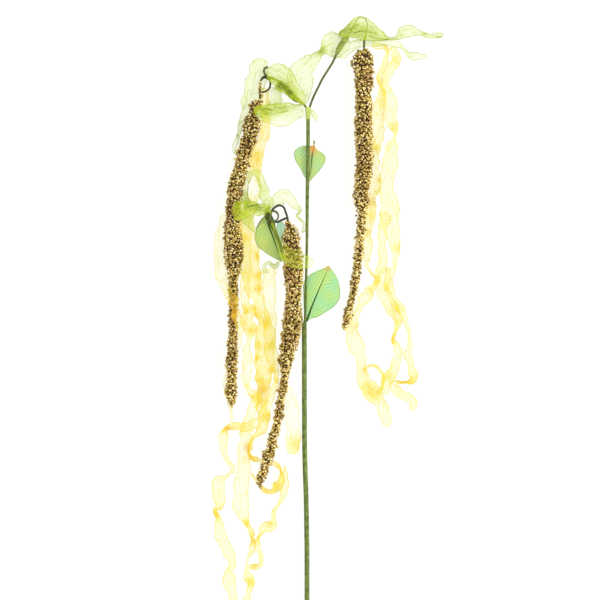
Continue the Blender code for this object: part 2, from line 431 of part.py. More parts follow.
def level_side(ahead):
    """Level unit vector to the right of a direction of travel."""
    return Vector((ahead.y, -ahead.x, 0)).normalized()


def tube_curve(name, route, sides_level, caps):
    """Round tube along a route of (right, down, height, radius)."""
    curve = bpy.data.curves.new(name, "CURVE")
    curve.dimensions = "3D"
    curve.bevel_depth = MM
    curve.bevel_resolution = sides_level
    curve.use_fill_caps = caps
    spline = curve.splines.new("POLY")
    spline.points.add(len(route) - 1)
    for point, station in zip(spline.points, route):
        point.co = (*spot(*station[:3]), 1.0)
        point.radius = station[3]
    return curve


def with_radius(route, radius):
    return [(*station, radius) for station in route]


def add_wire(collection, name, route, radius, look, sides_level):
    """Solid wire along a route of (right, down, height)."""
    curve = tube_curve(name, with_radius(route, radius), sides_level, True)
    return add_object(collection, name, curve, look)


def add_tape(collection, name, route, wall, look):
    """Hollow tape tube along a route of (right, down, height, radius), open at both ends."""
    tape = add_object(collection, name, tube_curve(name, route, 2, False), look)
    shell = tape.modifiers.new("tape wall", "SOLIDIFY")
    shell.thickness = wall * MM
    shell.offset = -1.0
    return tape


def band_mesh(name, rows):
    """Open band through rows of places, with every quad split the same way."""
    shape = bmesh.new()
    grid = [[shape.verts.new(place) for place in row] for row in rows]
    for row, following in zip(grid, grid[1:]):
        for left in range(len(row) - 1):
            shape.faces.new((row[left], row[left + 1], following[left + 1]))
            shape.faces.new((row[left], following[left + 1], following[left]))
    return mesh_from(shape, name)


def thicken(item, thickness):
    shell = item.modifiers.new("thickness", "SOLIDIFY")
    shell.thickness = thickness * MM
    shell.offset = 0.0


def add_ribbon(collection, name, stations, look):
    """Organza strip through stations of (right, down, rise, turn, width).

    rise is the height of its lower edge, and turn is its twist in degrees, 0 where it lies flat.
    """
    path = smooth(stations, RIBBON_STEP)
    places = []
    for right, down, rise, turn, width in path:
        places.append(spot(right, down, rise + width / 2 * abs(math.sin(math.radians(turn)))))
    rows = []
    for place, ahead, station in zip(places, directions(places), path):
        turn = math.radians(station[3])
        across = level_side(ahead) * math.cos(turn) + Vector((0, 0, math.sin(turn)))
        reach = across * (station[4] / 2 * MM)
        rows.append([place - reach, place + reach])
    ribbon = add_object(collection, name, band_mesh(name, rows), look)
    thicken(ribbon, ORGANZA)
    return ribbon


def add_leaf(collection, name, stations, look):
    """Arched leaf with a raised midrib, through (right, down, height, left width, right width)."""
    places = [spot(*station[:3]) for station in stations]
    rows = []
    for place, ahead, station in zip(places, directions(places), stations):
        side = level_side(ahead) * MM
        left, right = station[3:]
        arch = Vector((0, 0, LEAF_ARCH * min(1.0, left / LEAF_FULL_HALF) * MM))
        rows.append([place - side * left - arch, place - side * left / 2, place + arch / 2,
                     place + side * right / 2, place + side * right - arch])
    leaf = add_object(collection, name, band_mesh(name, rows), look)
    thicken(leaf, LEAF_THICKNESS)
    return leaf


def bead_rings(stations, seed):
    """Rings round a drop. Every third place is a bead's crown, and the others lie between beads."""
    rng = random.Random(seed)
    path = smooth(stations, BEAD_RING_STEP)
    places = [spot(*station[:3]) for station in path]
    rings = []
    for index, (centre, ahead, station) in enumerate(zip(places, directions(places), path)):
        side = level_side(ahead)
        up = side.cross(ahead)
        relief = min(1.0, station[3] / FULL_BEAD_RADIUS)
        ring = []
        for around in range(BEAD_SIDES):
            angle = math.tau * (around + index / 2) / BEAD_SIDES
            reach = station[3] - BEAD_RISE * relief
            if (around - index) % 3 == 0:
                reach = station[3] + rng.uniform(-BEAD_SPREAD, BEAD_SPREAD) * relief
            ring.append(centre + (side * math.cos(angle) + up * math.sin(angle)) * reach * MM)
        rings.append(ring)
    return places, rings


def flatten_below_surface(shape):
    """Cut away what lies under the surface, and close the small flats that are left."""
    everything = shape.verts[:] + shape.edges[:] + shape.faces[:]
    bmesh.ops.bisect_plane(shape, geom=everything, plane_co=(0, 0, 0), plane_no=(0, 0, -1),
                           clear_outer=True)
    bmesh.ops.holes_fill(shape, edges=[edge for edge in shape.edges if edge.is_boundary], sides=0)


def add_drop(collection, name, stations, seed, look):
    """Beaded drop through stations of (right, down, height, radius)."""
    places, rings = bead_rings(stations, seed)
    shape = bmesh.new()
    grid = [[shape.verts.new(place) for place in ring] for ring in rings]
    for ring, following in zip(grid, grid[1:]):
        for around in range(BEAD_SIDES):
            beside = (around + 1) % BEAD_SIDES
            shape.faces.new((ring[around], following[around], ring[beside]))
            shape.faces.new((ring[beside], following[around], following[beside]))
    for end, place in ((grid[0], places[0]), (grid[-1], places[-1])):
        pole = shape.verts.new(place)
        for here, beside in zip(end, end[1:] + end[:1]):
            shape.faces.new((here, beside, pole))
    bmesh.ops.recalc_face_normals(shape, faces=shape.faces)
    flatten_below_surface(shape)
    return add_object(collection, name, mesh_from(shape, name), look)


def add_socket(drop, cutters, inside, outside, radius):
    """Plain round hole in a drop, from inside it to beyond its top."""
    bottom = spot(*inside)
    mouth = spot(*outside)
    ahead = (mouth - bottom).normalized() * SOCKET_REACH * MM
    shape = bmesh.new()
    bmesh.ops.create_cone(shape, cap_ends=True, segments=8, radius1=radius * MM, radius2=radius * MM,
                          depth=(mouth - bottom + 2 * ahead).length)
    cutter = bpy.data.objects.new(drop.name + "_socket", mesh_from(shape, drop.name + "_socket"))
    cutter.location = (bottom + mouth) / 2
    cutter.rotation_euler = ahead.to_track_quat("Z", "Y").to_euler()
    cutter.hide_render = True
    cutter.display_type = "WIRE"
    cutters.objects.link(cutter)
    hole = drop.modifiers.new("socket", "BOOLEAN")
    hole.operation = "DIFFERENCE"
    hole.object = cutter


def add_stem(parts):
    add_tape(parts, "stem_lower", with_radius(LOWER_STEM, STEM_RADIUS), STEM_TAPE, TAPE_GREEN)
    add_tape(parts, "stem_upper", with_radius(UPPER_STEM, UPPER_STEM_RADIUS), STEM_TAPE, TAPE_GREEN)
    add_tape(parts, "fork_sleeve", with_radius(SLEEVE, SLEEVE_RADIUS), SLEEVE_TAPE, ORGANZA_GREEN)


def add_branches(parts):
    branches = {
        "right": (BRANCH_RIGHT, WIRE_RIGHT_IN_STEM, BINDING_RIGHT),
        "left": (BRANCH_LEFT, WIRE_LEFT_IN_STEM, BINDING_LEFT),
        "lower": (BRANCH_LOWER, WIRE_LOWER_IN_STEM, BINDING_LOWER),
    }
    for side, (branch, in_stem, binding) in branches.items():
        route = smooth(branch, BEND_STEP)
        add_tape(parts, "branch_" + side, with_radius(route, BRANCH_RADIUS), BRANCH_TAPE, TAPE_GREEN)
        add_wire(parts, "wire_" + side, in_stem + route, WIRE_RADIUS, WIRE_STEEL, 1)
        first, last, radius = binding
        bound = with_radius(route[first:last + 1], radius)
        add_tape(parts, "binding_" + side, bound, radius - BINDING_BORE, BINDING_GREEN)


def add_drops(parts, cutters):
    tape_socket = BRANCH_RADIUS + CLEARANCE
    hook_socket = HOOK_RADIUS + CLEARANCE
    right = add_drop(parts, "drop_right", DROP_RIGHT, 11, BEAD_GOLD)
    add_socket(right, cutters, BRANCH_RIGHT[-1], BRANCH_RIGHT[-2], tape_socket)
    left = add_drop(parts, "drop_left", DROP_LEFT, 22, BEAD_GOLD)
    add_socket(left, cutters, HOOK_LEFT[0], HOOK_LEFT[2], hook_socket)
    middle = add_drop(parts, "drop_middle", DROP_MIDDLE, 33, BEAD_GOLD)
    add_socket(middle, cutters, HOOK_MIDDLE[0], HOOK_MIDDLE[2], hook_socket)
    add_wire(parts, "hook_left", smooth(HOOK_LEFT, BEND_STEP), HOOK_RADIUS, HOOK_GREEN, 2)
    add_wire(parts, "hook_middle", smooth(HOOK_MIDDLE, BEND_STEP), HOOK_RADIUS, HOOK_GREEN, 2)


def main():
    remove_all()
    parts = make_collection("amaranth_spray")
    cutters = make_collection("cutters")
    add_stem(parts)
    add_branches(parts)
    add_drops(parts, cutters)
    for name, stations in LEAVES.items():
        add_leaf(parts, name, stations, LEAF_GREEN)
    for name, stations in GREEN_RIBBONS.items():
        add_ribbon(parts, name, stations, ORGANZA_GREEN)
    for name, stations in YELLOW_STREAMERS.items():
        add_ribbon(parts, name, stations, ORGANZA_YELLOW)


main()
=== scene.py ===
"""Dresses the hanging amaranth spray: strung beads, sheer ribbons, veined leaves and wound tape.

Routes are millimetres on a plan seen from above, right and down from the plan's corner, with the
height above the surface, as in the part's source. World +X is right and world +Y is up the plan.
Colours are screen values from 0 to 255.
"""

import math
import random

import bpy
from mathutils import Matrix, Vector, noise


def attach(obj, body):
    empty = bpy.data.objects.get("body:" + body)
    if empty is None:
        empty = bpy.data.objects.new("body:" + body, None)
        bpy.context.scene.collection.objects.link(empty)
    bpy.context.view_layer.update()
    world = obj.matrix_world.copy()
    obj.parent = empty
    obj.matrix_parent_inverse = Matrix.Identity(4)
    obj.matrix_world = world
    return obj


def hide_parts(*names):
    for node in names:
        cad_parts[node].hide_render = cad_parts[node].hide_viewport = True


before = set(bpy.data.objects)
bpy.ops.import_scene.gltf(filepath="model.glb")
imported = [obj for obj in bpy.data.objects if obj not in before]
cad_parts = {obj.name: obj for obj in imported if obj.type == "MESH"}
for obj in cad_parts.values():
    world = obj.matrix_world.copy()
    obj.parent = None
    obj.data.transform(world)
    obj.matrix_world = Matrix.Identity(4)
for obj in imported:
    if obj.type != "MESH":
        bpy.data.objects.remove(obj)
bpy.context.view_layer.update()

MM = 0.001
PLAN_RIGHT = 328.2
PLAN_DOWN = 398.0

# Camera: the plan's middle of the view, its width, and how high the camera hangs
VIEW_RIGHT = 300
VIEW_DOWN = 300
VIEW_WIDTH = 600
CAMERA_HEIGHT = 4000
SENSOR_WIDTH = 36

# Steps along routes, faces across, and the UV map's unit, all but the faces in millimetres
RIBBON_STEP = 1.2
TUBE_STEP = 1.2
LEAF_STEP = 0.5
RIBBON_COLUMNS = 12
LEAF_COLUMNS = 44
TUBE_SIDES = 14
UV_UNIT = 10
MERGE_DISTANCE = 0.01
CREASE_ANGLE = math.radians(60)

# Tubes: radius of the stem and the branches, the tape's wall, and the depth of the stem's open end
STEM_RADIUS = 2.48
BRANCH_RADIUS = 1.15
TUBE_WALL = 0.4
OPEN_END_DEPTH = 5.0

# Beads: their shape and sizes, how they lie together in lumps, how few of them stand out, and the
# cord inside them
BEAD_SIZE = 1.38
BEAD_SIDES = 7
BEAD_RINGS = 5
BEAD_SHAPE = (1.06, 1.0, 0.86)
BEAD_SIZES = (0.8, 1.12)
BEAD_SPACING = 2.42
BEAD_ROW_SPACING = 0.9 * BEAD_SPACING
LUMP_SIZE = 5.5
LUMP_RISE = 2.5
STRAY_SHARE = 0.13
STRAY_RISE = 1.8
CORD_DEPTH = 2.3
THINNEST_CORD = 0.4

# Leaves: distance between side ribs, their height and slant, the midrib's groove, how high the rim
# waves, and the cloth's thickness
RIB_SPACING = 2.7
RIB_HEIGHT = 0.13
RIB_SLANT = 0.62
GROOVE_DEPTH = 0.5
GROOVE_WIDTH = 0.9
RIM_WAVE = 0.35
LEAF_CLOTH = 0.35
NARROWEST_LEAF = 0.3

# Ribbons: height at which they lie, length of a wave at the edge, how far the edges swing, the
# width from which waves are full, the rounding of the ends, and the lowest place over the floor
LAID_RISE = 0.5
WAVE_LENGTH = 9.5
EDGE_SWING = 1.3
FULL_WAVE_WIDTH = 8
ROUND_END = 3.0
LEAST_ROUNDING = 0.02
LOWEST = 0.15

# Smallest width and area that are worked out for a sheet, the area as a share of the flat size
SMALLEST_SHEET_WIDTH = 10.0
SMALLEST_SHEET_SHARE = 0.31

# Sheer cloth: layers of the sleeve, what a layer lets through, its coloured edge, and its threads
SLEEVE_LAYERS = 3.0
SLEEVE_PALENESS = 0.7
SLEEVE_FROM_EDGE = 2.0
THINNEST_LAYERS = 0.08
ONE_LAYER_LETS_THROUGH = 0.5
SELVAGE_WIDTH = 1.0
THREADS = 120

# The floor's width, light from below it and all round, and lamps: name, place in metres, size and
# power
FLOOR_SIZE = 6
FLOOR_GLOW = 0.88
WORLD_STRENGTH = 0.42
LIGHTS = [
    ("key_light", (1.5, 0.7, 1.5), 1.1, 34),
    ("fill_light", (-1.6, 0.5, 1.6), 1.6, 18),
    ("low_light", (0.2, -1.8, 1.4), 1.6, 18),
    ("side_light", (2.2, 0.1, 0.35), 0.7, 12),
]

# Papers wound round the wires: dark colour, light colour, turns in a centimetre
PAPERS = {
    "stem_paper": ((54, 72, 22), (132, 150, 74), 1.1),
    "branch_paper": ((56, 70, 30), (112, 128, 70), 1.9),
    "binding_paper_right": ((106, 124, 46), (172, 188, 92), 1.4),
    "binding_paper_left": ((62, 78, 22), (134, 150, 66), 1.4),
    "binding_paper_lower": ((34, 46, 10), (92, 106, 36), 1.4),
    "hook_paper": ((38, 48, 22), (78, 84, 50), 3.0),
}

# Leaf cloths: the share of their colour painted on as a glow, for light that comes through them,
# and the colours of the body, its cooler places, the painted shade in the hollows between the
# ribs, the midrib and the scorched patch
LEAF_COLOURS = {
    "green": (0.3, (190, 226, 126), (168, 226, 160), (128, 182, 90), (58, 88, 20), (208, 178, 84)),
    "pale_green": (
        0.3, (192, 216, 122), (178, 220, 150), (132, 176, 88), (74, 98, 34), (236, 166, 84)),
    "olive": (0.3, (198, 214, 110), (172, 208, 116), (132, 162, 62), (66, 94, 20), (52, 58, 24)),
    # The teal leaf has more painted glow and paler colours, painted light that lifts the shade the
    # drop above casts on it
    "teal": (
        0.62, (192, 234, 192), (204, 240, 212), (180, 224, 184), (178, 224, 186), (236, 166, 84)),
}
# Painted highlight on the tops of the leaves' side ribs
RIB_TOP_HIGHLIGHT = (226, 246, 200)
RIM_COLOUR = (104, 132, 60)

# Beads: colours by tone, and the copper where they are worn
BEAD_COLOURS = [
    (0.1, (116, 84, 32)), (0.35, (176, 150, 70)), (0.65, (224, 198, 110)), (0.95, (252, 238, 186)),
]
COPPER = (160, 116, 54)

# Organzas: the share of their colour painted on as a glow, for light that comes through them,
# how many layers the edge adds at most, and the colours from one layer to many, of the edge, of
# flecks, and of toasted or paler places
ORGANZAS = {
    "green_organza": (
        0.5, 1.7, [(208, 224, 50), (186, 204, 32), (150, 170, 32), (112, 132, 26)],
        (158, 178, 44), (96, 92, 24), (214, 226, 130)),
    "yellow_organza": (
        0.62, 2.6, [(246, 234, 76), (248, 224, 62), (246, 214, 58), (242, 194, 40)],
        (236, 214, 72), (150, 112, 36), (228, 164, 36)),
}
COVERS_OF_TONES = (0.35, 0.8, 0.95, 0.995)

# Stem. Stations are right, down, height, and a radius where it isn't the usual one
LOWER_STEM = [
    (307, 780, 2.7), (307, 575, 2.7), (306.8, 540, 2.7), (306.19, 500, 2.7), (304.78, 455, 2.7),
    (304.38, 400, 2.7), (304.38, 345, 2.9), (304.2, 323, 3.6),
]
UPPER_STEM = [
    (304.7, 323, 3.9, 2.2), (305.2, 319.5, 4.4, 1.25), (305.4, 305, 4.7, 1.25),
    (306.1, 280, 5.3, 1.25), (306.9, 245, 5.8, 1.39), (307.4, 190, 6, 1.85), (308, 160, 6, 1.85),
    (308, 112, 6, 1.85),
]

# Each branch's route, and the wrap wound round it
BRANCHES = {
    "right": ([
        (309.6, 108.2, 6), (311.2, 103, 6), (314.5, 95, 6), (318.5, 87, 6), (322.5, 79, 6),
        (327.5, 71, 6), (332.5, 63, 6), (336, 55.5, 6), (339, 49, 6), (342.5, 43, 6),
        (346.5, 38, 6), (350, 33, 6, 0.45), (353.5, 27, 6, 0.45), (355.5, 22, 6, 0.45),
        (358, 18.5, 6, 0.45), (361.5, 17.2, 6, 0.45), (365, 18.8, 6, 0.45), (366.8, 23, 6, 0.45),
        (367, 28.5, 6, 0.45), (366, 34, 6.3, 0.45), (364.4, 40, 6.8), (364, 46, 7.2),
        (364, 56, 7.2),
    ], [
        (336.6, 54.2, 6, 1.6), (338, 51, 6, 2.5), (341, 45.5, 6, 3), (344.5, 40.5, 6, 3),
        (347.5, 36.6, 6, 2),
    ]),
    "left": ([
        (306.2, 108.2, 6), (304.5, 105.5, 6), (301, 102.5, 6), (296, 99.5, 6), (290.5, 95, 6),
        (286, 88.5, 6), (281, 83, 6), (276, 80, 6), (271, 78.3, 6), (267, 76.3, 6),
        (264.4, 73.3, 6), (264.2, 70, 6), (265.8, 67.9, 6), (268.2, 67.6, 6),
    ], [
        (300, 101.9, 6, 1.5), (297, 100.2, 6, 2.6), (292.5, 96.8, 6, 3.1), (288.5, 92.2, 6, 3.1),
        (284.8, 87, 6, 1.8),
    ]),
    "lower": ([
        (301.9, 320.3, 2.4), (299.5, 308, 2.2), (295.5, 296, 1.8), (291.5, 284, 1.6),
        (287.5, 271, 1.9), (284, 258, 2.9, 1.6), (280.5, 246, 4.2, 1.9), (276.5, 235.5, 5.1, 1.9),
        (273, 225.5, 5.7, 1.9), (270.6, 218.5, 6, 1.9), (270, 213.8, 6), (272.5, 211.2, 6),
        (276.4, 212.2, 6), (278.4, 216, 6.4, 0.85), (277, 219.8, 7.6, 0.85),
        (273.8, 221.4, 9.3, 0.85), (270.8, 220, 10.3, 0.85), (269.8, 216.8, 10.4, 0.85),
        (271.2, 214, 10, 0.85),
    ], [
        (276.5, 235, 5.1, 1.5), (274.3, 229.2, 5.5, 1.9), (272.6, 224.3, 5.8, 2.6),
        (270.2, 219.6, 5.95, 3.5), (267.8, 215.5, 6, 3.5), (265.6, 212.4, 6, 1.8),
    ]),
}

# Hooks, with their usual radius first
HOOKS = {
    "left": (0.95, [
        (259.6, 110, 8.3), (260, 104, 8.2), (260, 98, 7.8), (260, 92, 6.6), (260, 86, 5),
        (261, 80.5, 3.9), (264, 77.3, 3.3, 1.5), (267.6, 77.6, 3.2, 2), (269.9, 81, 3.3, 1.2),
        (270.3, 85.5, 3.6), (268.8, 89.3, 4), (265.6, 91.6, 4.4), (262.9, 92.5, 5),
        (260.8, 92.8, 5.8),
    ]),
    "middle": (1.1, [
        (290, 232.5, 8.8), (288.8, 227.5, 7.6), (288.2, 222.5, 6.6), (287.3, 217.2, 5.6),
        (285.6, 212, 4.6), (283.8, 207.6, 3.8), (280, 205.4, 3.4), (275.8, 206.8, 3.3),
        (271.8, 210.8, 3.1), (270.8, 216, 2.8), (273.2, 220.6, 2.8), (277.4, 222, 3.4),
        (282, 220, 4.2), (286.4, 218.2, 4.8),
    ]),
}

# Sleeve where the branches leave the stem
FORK_SLEEVE = [
    (308, 107.4, 6, 3.1), (308, 110, 6, 3), (308, 113.5, 6, 2.7), (308, 119.4, 6, 2.4),
]

# Drops: right, down, height, radius over the beads
DROPS = {
    "right": [
        (363.2, 51.6, 7.4, 5.6), (363.4, 55, 8, 9.1), (362.4, 61.5, 8.9, 10.6),
        (363.3, 69, 8, 9.6), (363.7, 80, 7.4, 8.8), (363.2, 100, 7.6, 8.4), (363, 120, 7.8, 8.6),
        (363.7, 140, 7.8, 8.8), (364.2, 160, 7.6, 8.4), (362.7, 175, 7.2, 8), (361.8, 190, 7, 7.6),
        (361.3, 204, 6.2, 7), (361.6, 214, 3.9, 4.4), (360.3, 230, 4, 4.6), (358.8, 250, 4.2, 4.8),
        (356.6, 272, 3.9, 4.5), (354.3, 286, 3.8, 4.3), (351.6, 300, 3.7, 4.2),
        (348.6, 311, 3.8, 4.4), (346.3, 321, 4, 4.6), (344.3, 329, 3, 2.4),
    ],
    "left": [
        (260.2, 83, 4.8, 1.9), (260, 90, 6.4, 1.9), (260.6, 97, 7.8, 2), (259.6, 101.5, 8.2, 2.8),
        (256.5, 104.6, 8.2, 6), (255, 107.3, 8.2, 6.6), (253.8, 112, 8.4, 4.6),
        (252.6, 117, 8.8, 6), (251.8, 122, 9.2, 8.2), (251.6, 127, 9.4, 9.8),
        (251.6, 132, 8.6, 8.4), (249.8, 137, 8.2, 8), (248.2, 142, 8.2, 8.9),
        (245.3, 151, 7.2, 7.3), (242.4, 160, 6.8, 7.1), (240, 172, 6.6, 7.3), (236.5, 182, 7.1, 8),
        (235, 193, 7, 7.8), (233.7, 205, 6.4, 7.2), (233.5, 220, 7, 7.8), (233, 235, 7.7, 8.7),
        (234, 252, 8, 9), (233.5, 265, 7.8, 8.8), (233, 276, 4.8, 5.5), (233.5, 288, 4, 4.8),
        (233, 310, 4.1, 5), (233, 328, 4.4, 5), (232.2, 345, 6.8, 5.2), (232, 363, 7.5, 5.8),
        (232, 380, 7.1, 5.4), (231, 393, 7.4, 5.8), (231.5, 401, 6, 4.6), (232, 406, 4.4, 2),
    ],
    "middle": [
        (287.5, 223, 6.6, 3), (288.8, 227, 7.6, 4.5), (290.8, 233, 9.6, 7.5),
        (290.5, 241, 11, 8.5), (292.5, 250, 11.9, 8.5), (293, 262, 12.2, 9.3),
        (293, 272, 12.4, 9.5), (293.5, 280, 12.2, 8.8), (294, 290, 12, 8), (292.5, 302, 12, 8),
        (293, 312, 12.2, 9), (292.5, 322, 12.2, 9.2), (291, 332, 11.4, 9), (290, 342, 10, 8.5),
        (287, 351, 8.6, 8), (286, 361, 6.8, 7.2), (285, 371, 4.4, 5), (284, 382, 3.8, 4.5),
        (282.5, 393, 3.8, 4.6), (280.5, 403, 3.7, 4.5), (279, 414, 3.9, 4.8), (277, 424, 4, 4.7),
        (273.5, 437, 4.6, 5), (271.5, 447, 5.8, 5), (268.5, 456, 7.6, 5.8), (265.5, 465, 6.8, 4.8),
        (262, 475, 6.8, 5), (260.5, 484, 5.6, 3.2), (260.8, 487.5, 4.8, 1.4),
    ],
}

# Leaves: colours, a scorched spot with its reach, and right, down, height, and the width on each
# side of the midrib
LEAVES = {
    "leaf_upper": ("pale_green", (312.5, 148.5, 5.2), [
        (314.3, 140.8, 5.4, 0.6, 0.6), (314.1, 143, 4.2, 0.8, 0.8), (313.8, 146, 3.2, 1, 1),
        (313, 149, 2.4, 4.5, 12), (312.5, 152, 2.2, 10.5, 17), (312, 156, 2.2, 13.5, 18),
        (311.5, 161, 2.2, 13.5, 16.5), (311, 166, 2.2, 11, 13.5), (310.3, 171, 2.2, 8, 9.5),
        (309.5, 176, 2.1, 4.5, 6), (308.9, 180, 2, 2, 2.5), (308.4, 182, 2, 0.6, 0.6),
    ]),
    "leaf_big": ("green", (328.2, 267, 4.2), [
        (306, 322, 1.2, 0.8, 0.8), (307.5, 318.5, 1.3, 1.5, 2.5), (309, 314, 1.5, 5, 9),
        (312, 306, 1.8, 9, 15.5), (315.3, 298, 1.8, 12.8, 20.8), (319, 289, 1.8, 16.5, 22.5),
        (322.5, 281, 1.8, 14.5, 19), (325.5, 274, 1.8, 8.5, 13), (327.3, 269.5, 1.8, 3.5, 6.5),
        (328.5, 266, 1.8, 0.6, 0.6),
    ]),
    "leaf_knot": ("olive", (259, 222, 7), [
        (270, 217.5, 2.4, 0.8, 0.8), (268.3, 218.5, 2.5, 1.2, 4.4), (268, 221, 2.7, 1.5, 8.4),
        (269, 226, 2.9, 1.5, 13.8), (271.5, 233, 2.9, 3, 17.2), (274, 240, 2.7, 3.5, 17.5),
        (276.5, 247, 2.2, 3.5, 13.5), (279, 254, 1.6, 3, 8), (280.6, 259, 1.2, 2, 3.2),
        (281.3, 261.6, 1.1, 0.6, 0.6),
    ]),
    "leaf_small": ("teal", (281, 222, 0.5), [
        (279.6, 221, 1.4, 1, 1), (280.4, 224.5, 1.4, 3.4, 3.4), (281, 229, 1.4, 4.4, 4.6),
        (281.3, 234, 1.4, 4.4, 4.6), (281, 239, 1.4, 2.6, 2.8), (280.6, 243, 1.3, 0.6, 0.6),
    ]),
}

# Green ribbons: layers of cloth, height of the waves, and right, down, width, and where they
# aren't 0 and LAID_RISE, turn in degrees and rise
GREEN_RIBBONS = {
    "green_canopy_right": (0.85, 0.7, [
        (338.5, 34.5, 2.5, 0, 9.3), (342, 33, 8, 0, 9.3), (347, 32.3, 14, 0, 9.3),
        (352, 31.5, 18.5, 0, 9.3), (357, 30, 22.8, 0, 8.8), (362, 29.2, 23.5, 0, 8.4),
        (367, 30.8, 21.5, 0, 8.2), (372, 33, 18, 0, 8.1), (377, 35.2, 13, 0, 8),
        (382, 37.7, 8, 10, 7), (388, 39, 5, 45, 4.6), (394, 38.8, 5, 45, 2.6),
        (399, 36.5, 7, 20, 1.4), (403, 33, 11.5, 5, 1), (407, 31.7, 13, 0, 0.8),
        (411, 31, 11.5, 0, 0.6), (415, 31.5, 8.5), (419, 32.8, 6, 20), (423, 34.8, 5, 40),
        (428, 36, 6, 30), (433, 36, 7, 20), (438, 35.4, 6, 20), (443.5, 35, 4, 30),
    ]),
    "green_ruffle_right": (0.4, 1.6, [
        (350, 41, 12), (342, 43.5, 20), (333, 46, 27), (327, 48.5, 20, 10, 0.6),
        (322, 51.5, 10, 45), (317, 55.5, 11, 35), (311.5, 61, 15, 15), (305.5, 67, 20),
        (301, 75.5, 27), (301.5, 85, 22), (303.5, 95, 14), (304, 105, 8),
    ]),
    "green_tail_right": (0.3, 1.2, [
        (340, 58, 6, 0, 1.7), (345, 52, 10, 0, 1.7), (351, 46.5, 10, 0, 1.7), (358, 44, 8, 0, 1.7),
        (366, 43.5, 7, 0, 1.7), (375, 43, 7, 0, 2.4), (384, 43, 6, 0, 2.9), (393, 43.5, 6, 0, 2.9),
        (400, 45.5, 6, 20, 1.6), (404.5, 51, 5, 40, 0.6), (410.5, 55.5, 7, 20), (418.5, 57, 6, 10),
        (427, 56, 3, 20),
    ]),
    "green_band_left": (0.65, 0.6, [
        (305, 105.5, 4, 0, 8.2), (300, 98.5, 10, 0, 9.3), (293.5, 90, 16, 0, 9.6),
        (285, 80.5, 22, 0, 9.6), (277, 74.5, 21, 0, 9.3), (270.5, 71, 14, 0, 8.4),
        (267.5, 69.5, 6, 0, 7.8),
    ]),
    "green_sheet_left": (0.5, 1.4, [
        (267, 61, 8), (261, 67, 18), (257.5, 77, 20), (254, 88, 20), (250, 98, 16),
        (246.5, 107, 10), (243.7, 114, 6, 10), (241.2, 122, 5, 30), (239.5, 130, 5, 40),
        (237.5, 138, 5, 40), (234.2, 146, 5, 20), (234.3, 154, 5, 50),
    ]),
    "green_veil_left": (0.42, 1, [
        (303.5, 111, 15, 0, 4.25), (295, 112, 17, 0, 3.7), (285, 114.5, 22, 0, 5.2),
        (275, 115.5, 22, 0, 9), (266, 113.5, 18, 0, 13.5), (259, 112, 12, 0, 16.5),
        (254, 112, 5, 0, 17),
    ]),
    "green_drip_left": (0.42, 0.8, [
        (275, 87, 10), (273.5, 95, 15), (272.5, 105.5, 17),
    ]),
    "green_wing_middle": (0.8, 0.8, [
        (271.5, 213.5, 5, 0, 7.75), (266, 210.5, 10, 0, 8.4), (259, 208.3, 13, 0, 11.5),
        (252.5, 208.5, 14.5, 0, 14.5), (246, 209.7, 17, 0, 16.6), (240, 211.5, 19, 0, 17),
        (233, 212, 15, 0, 16.8),
    ]),
    "green_strand_middle": (0.9, 0.5, [
        (242, 212, 9, 0, 4.5), (246.5, 218.5, 10, 0, 4.5), (250.5, 224, 8, 0, 3.9),
        (254, 229, 6, 0, 3.8), (256.5, 232.5, 3, 0, 4.1),
    ]),
    "green_arch_middle": (0.7, 1, [
        (247, 205, 7, 15, 2.9), (246, 197, 7, 20, 2.9), (246, 188, 7, 25, 2.9),
        (248.5, 178.5, 7, 25, 2.9), (254, 172.5, 7, 15, 2.9), (259.5, 176, 8, 15, 2.9),
        (263, 185, 8, 10, 2.9), (265, 195, 10, 5, 2.9), (266.5, 203, 11, 0, 2.9),
        (268, 210, 7, 0, 2.9),
    ]),
    "green_crest_middle": (0.3, 1.2, [
        (268.5, 207.5, 6, 0, 2), (272, 203.8, 8, 0, 0.9), (276, 200.8, 10), (280.3, 198.2, 11.5),
        (284, 197, 17), (288, 199.2, 11.5), (292, 203, 9), (296.8, 206.8, 7, 20),
        (299.8, 210.3, 5, 45), (298.4, 213.8, 4.5, 45), (296.6, 217, 4.5, 45),
        (299.5, 220, 4.5, 45), (303.3, 223.3, 4.5, 45), (304, 228, 4.5, 45), (301.5, 232, 4, 40),
    ]),
    "green_drape_middle": (0.25, 1, [
        (271.8, 222, 2.5, 0, 9.2), (275.2, 231, 3, 0, 11), (278.6, 240, 4, 0, 14.5),
        (281.6, 247, 7, 0, 18.5), (285.5, 253, 13.5, 0, 21.5), (290, 257, 17, 0, 22.6),
        (295.5, 259.5, 17.5, 0, 22.8), (300.8, 261, 15.5, 0, 21.5), (305, 262, 13, 0, 14),
        (309.5, 262.5, 12, 0, 9), (313.5, 263, 8, 0, 6.5),
    ]),
    "green_curl_middle": (0.4, 0.4, [
        (279, 261.5, 3, 0, 3), (276, 267, 4, 40, 2.2), (272.8, 265.5, 4, 40, 1.8),
        (268.5, 262.5, 4, 40, 1.8), (264.5, 265, 4, 40, 1.8), (264.2, 270, 4, 40, 1.8),
        (268.5, 273, 3, 30, 1.8),
    ]),
    "green_loop_fork": (0.4, 0.3, [
        (310.6, 110.5, 3, 0, 5), (312.8, 112.6, 4.5, 20, 5), (315, 115.6, 5.5, 25, 5),
        (315.6, 118.6, 5, 30, 5), (314, 121, 3, 20, 5),
    ]),
}

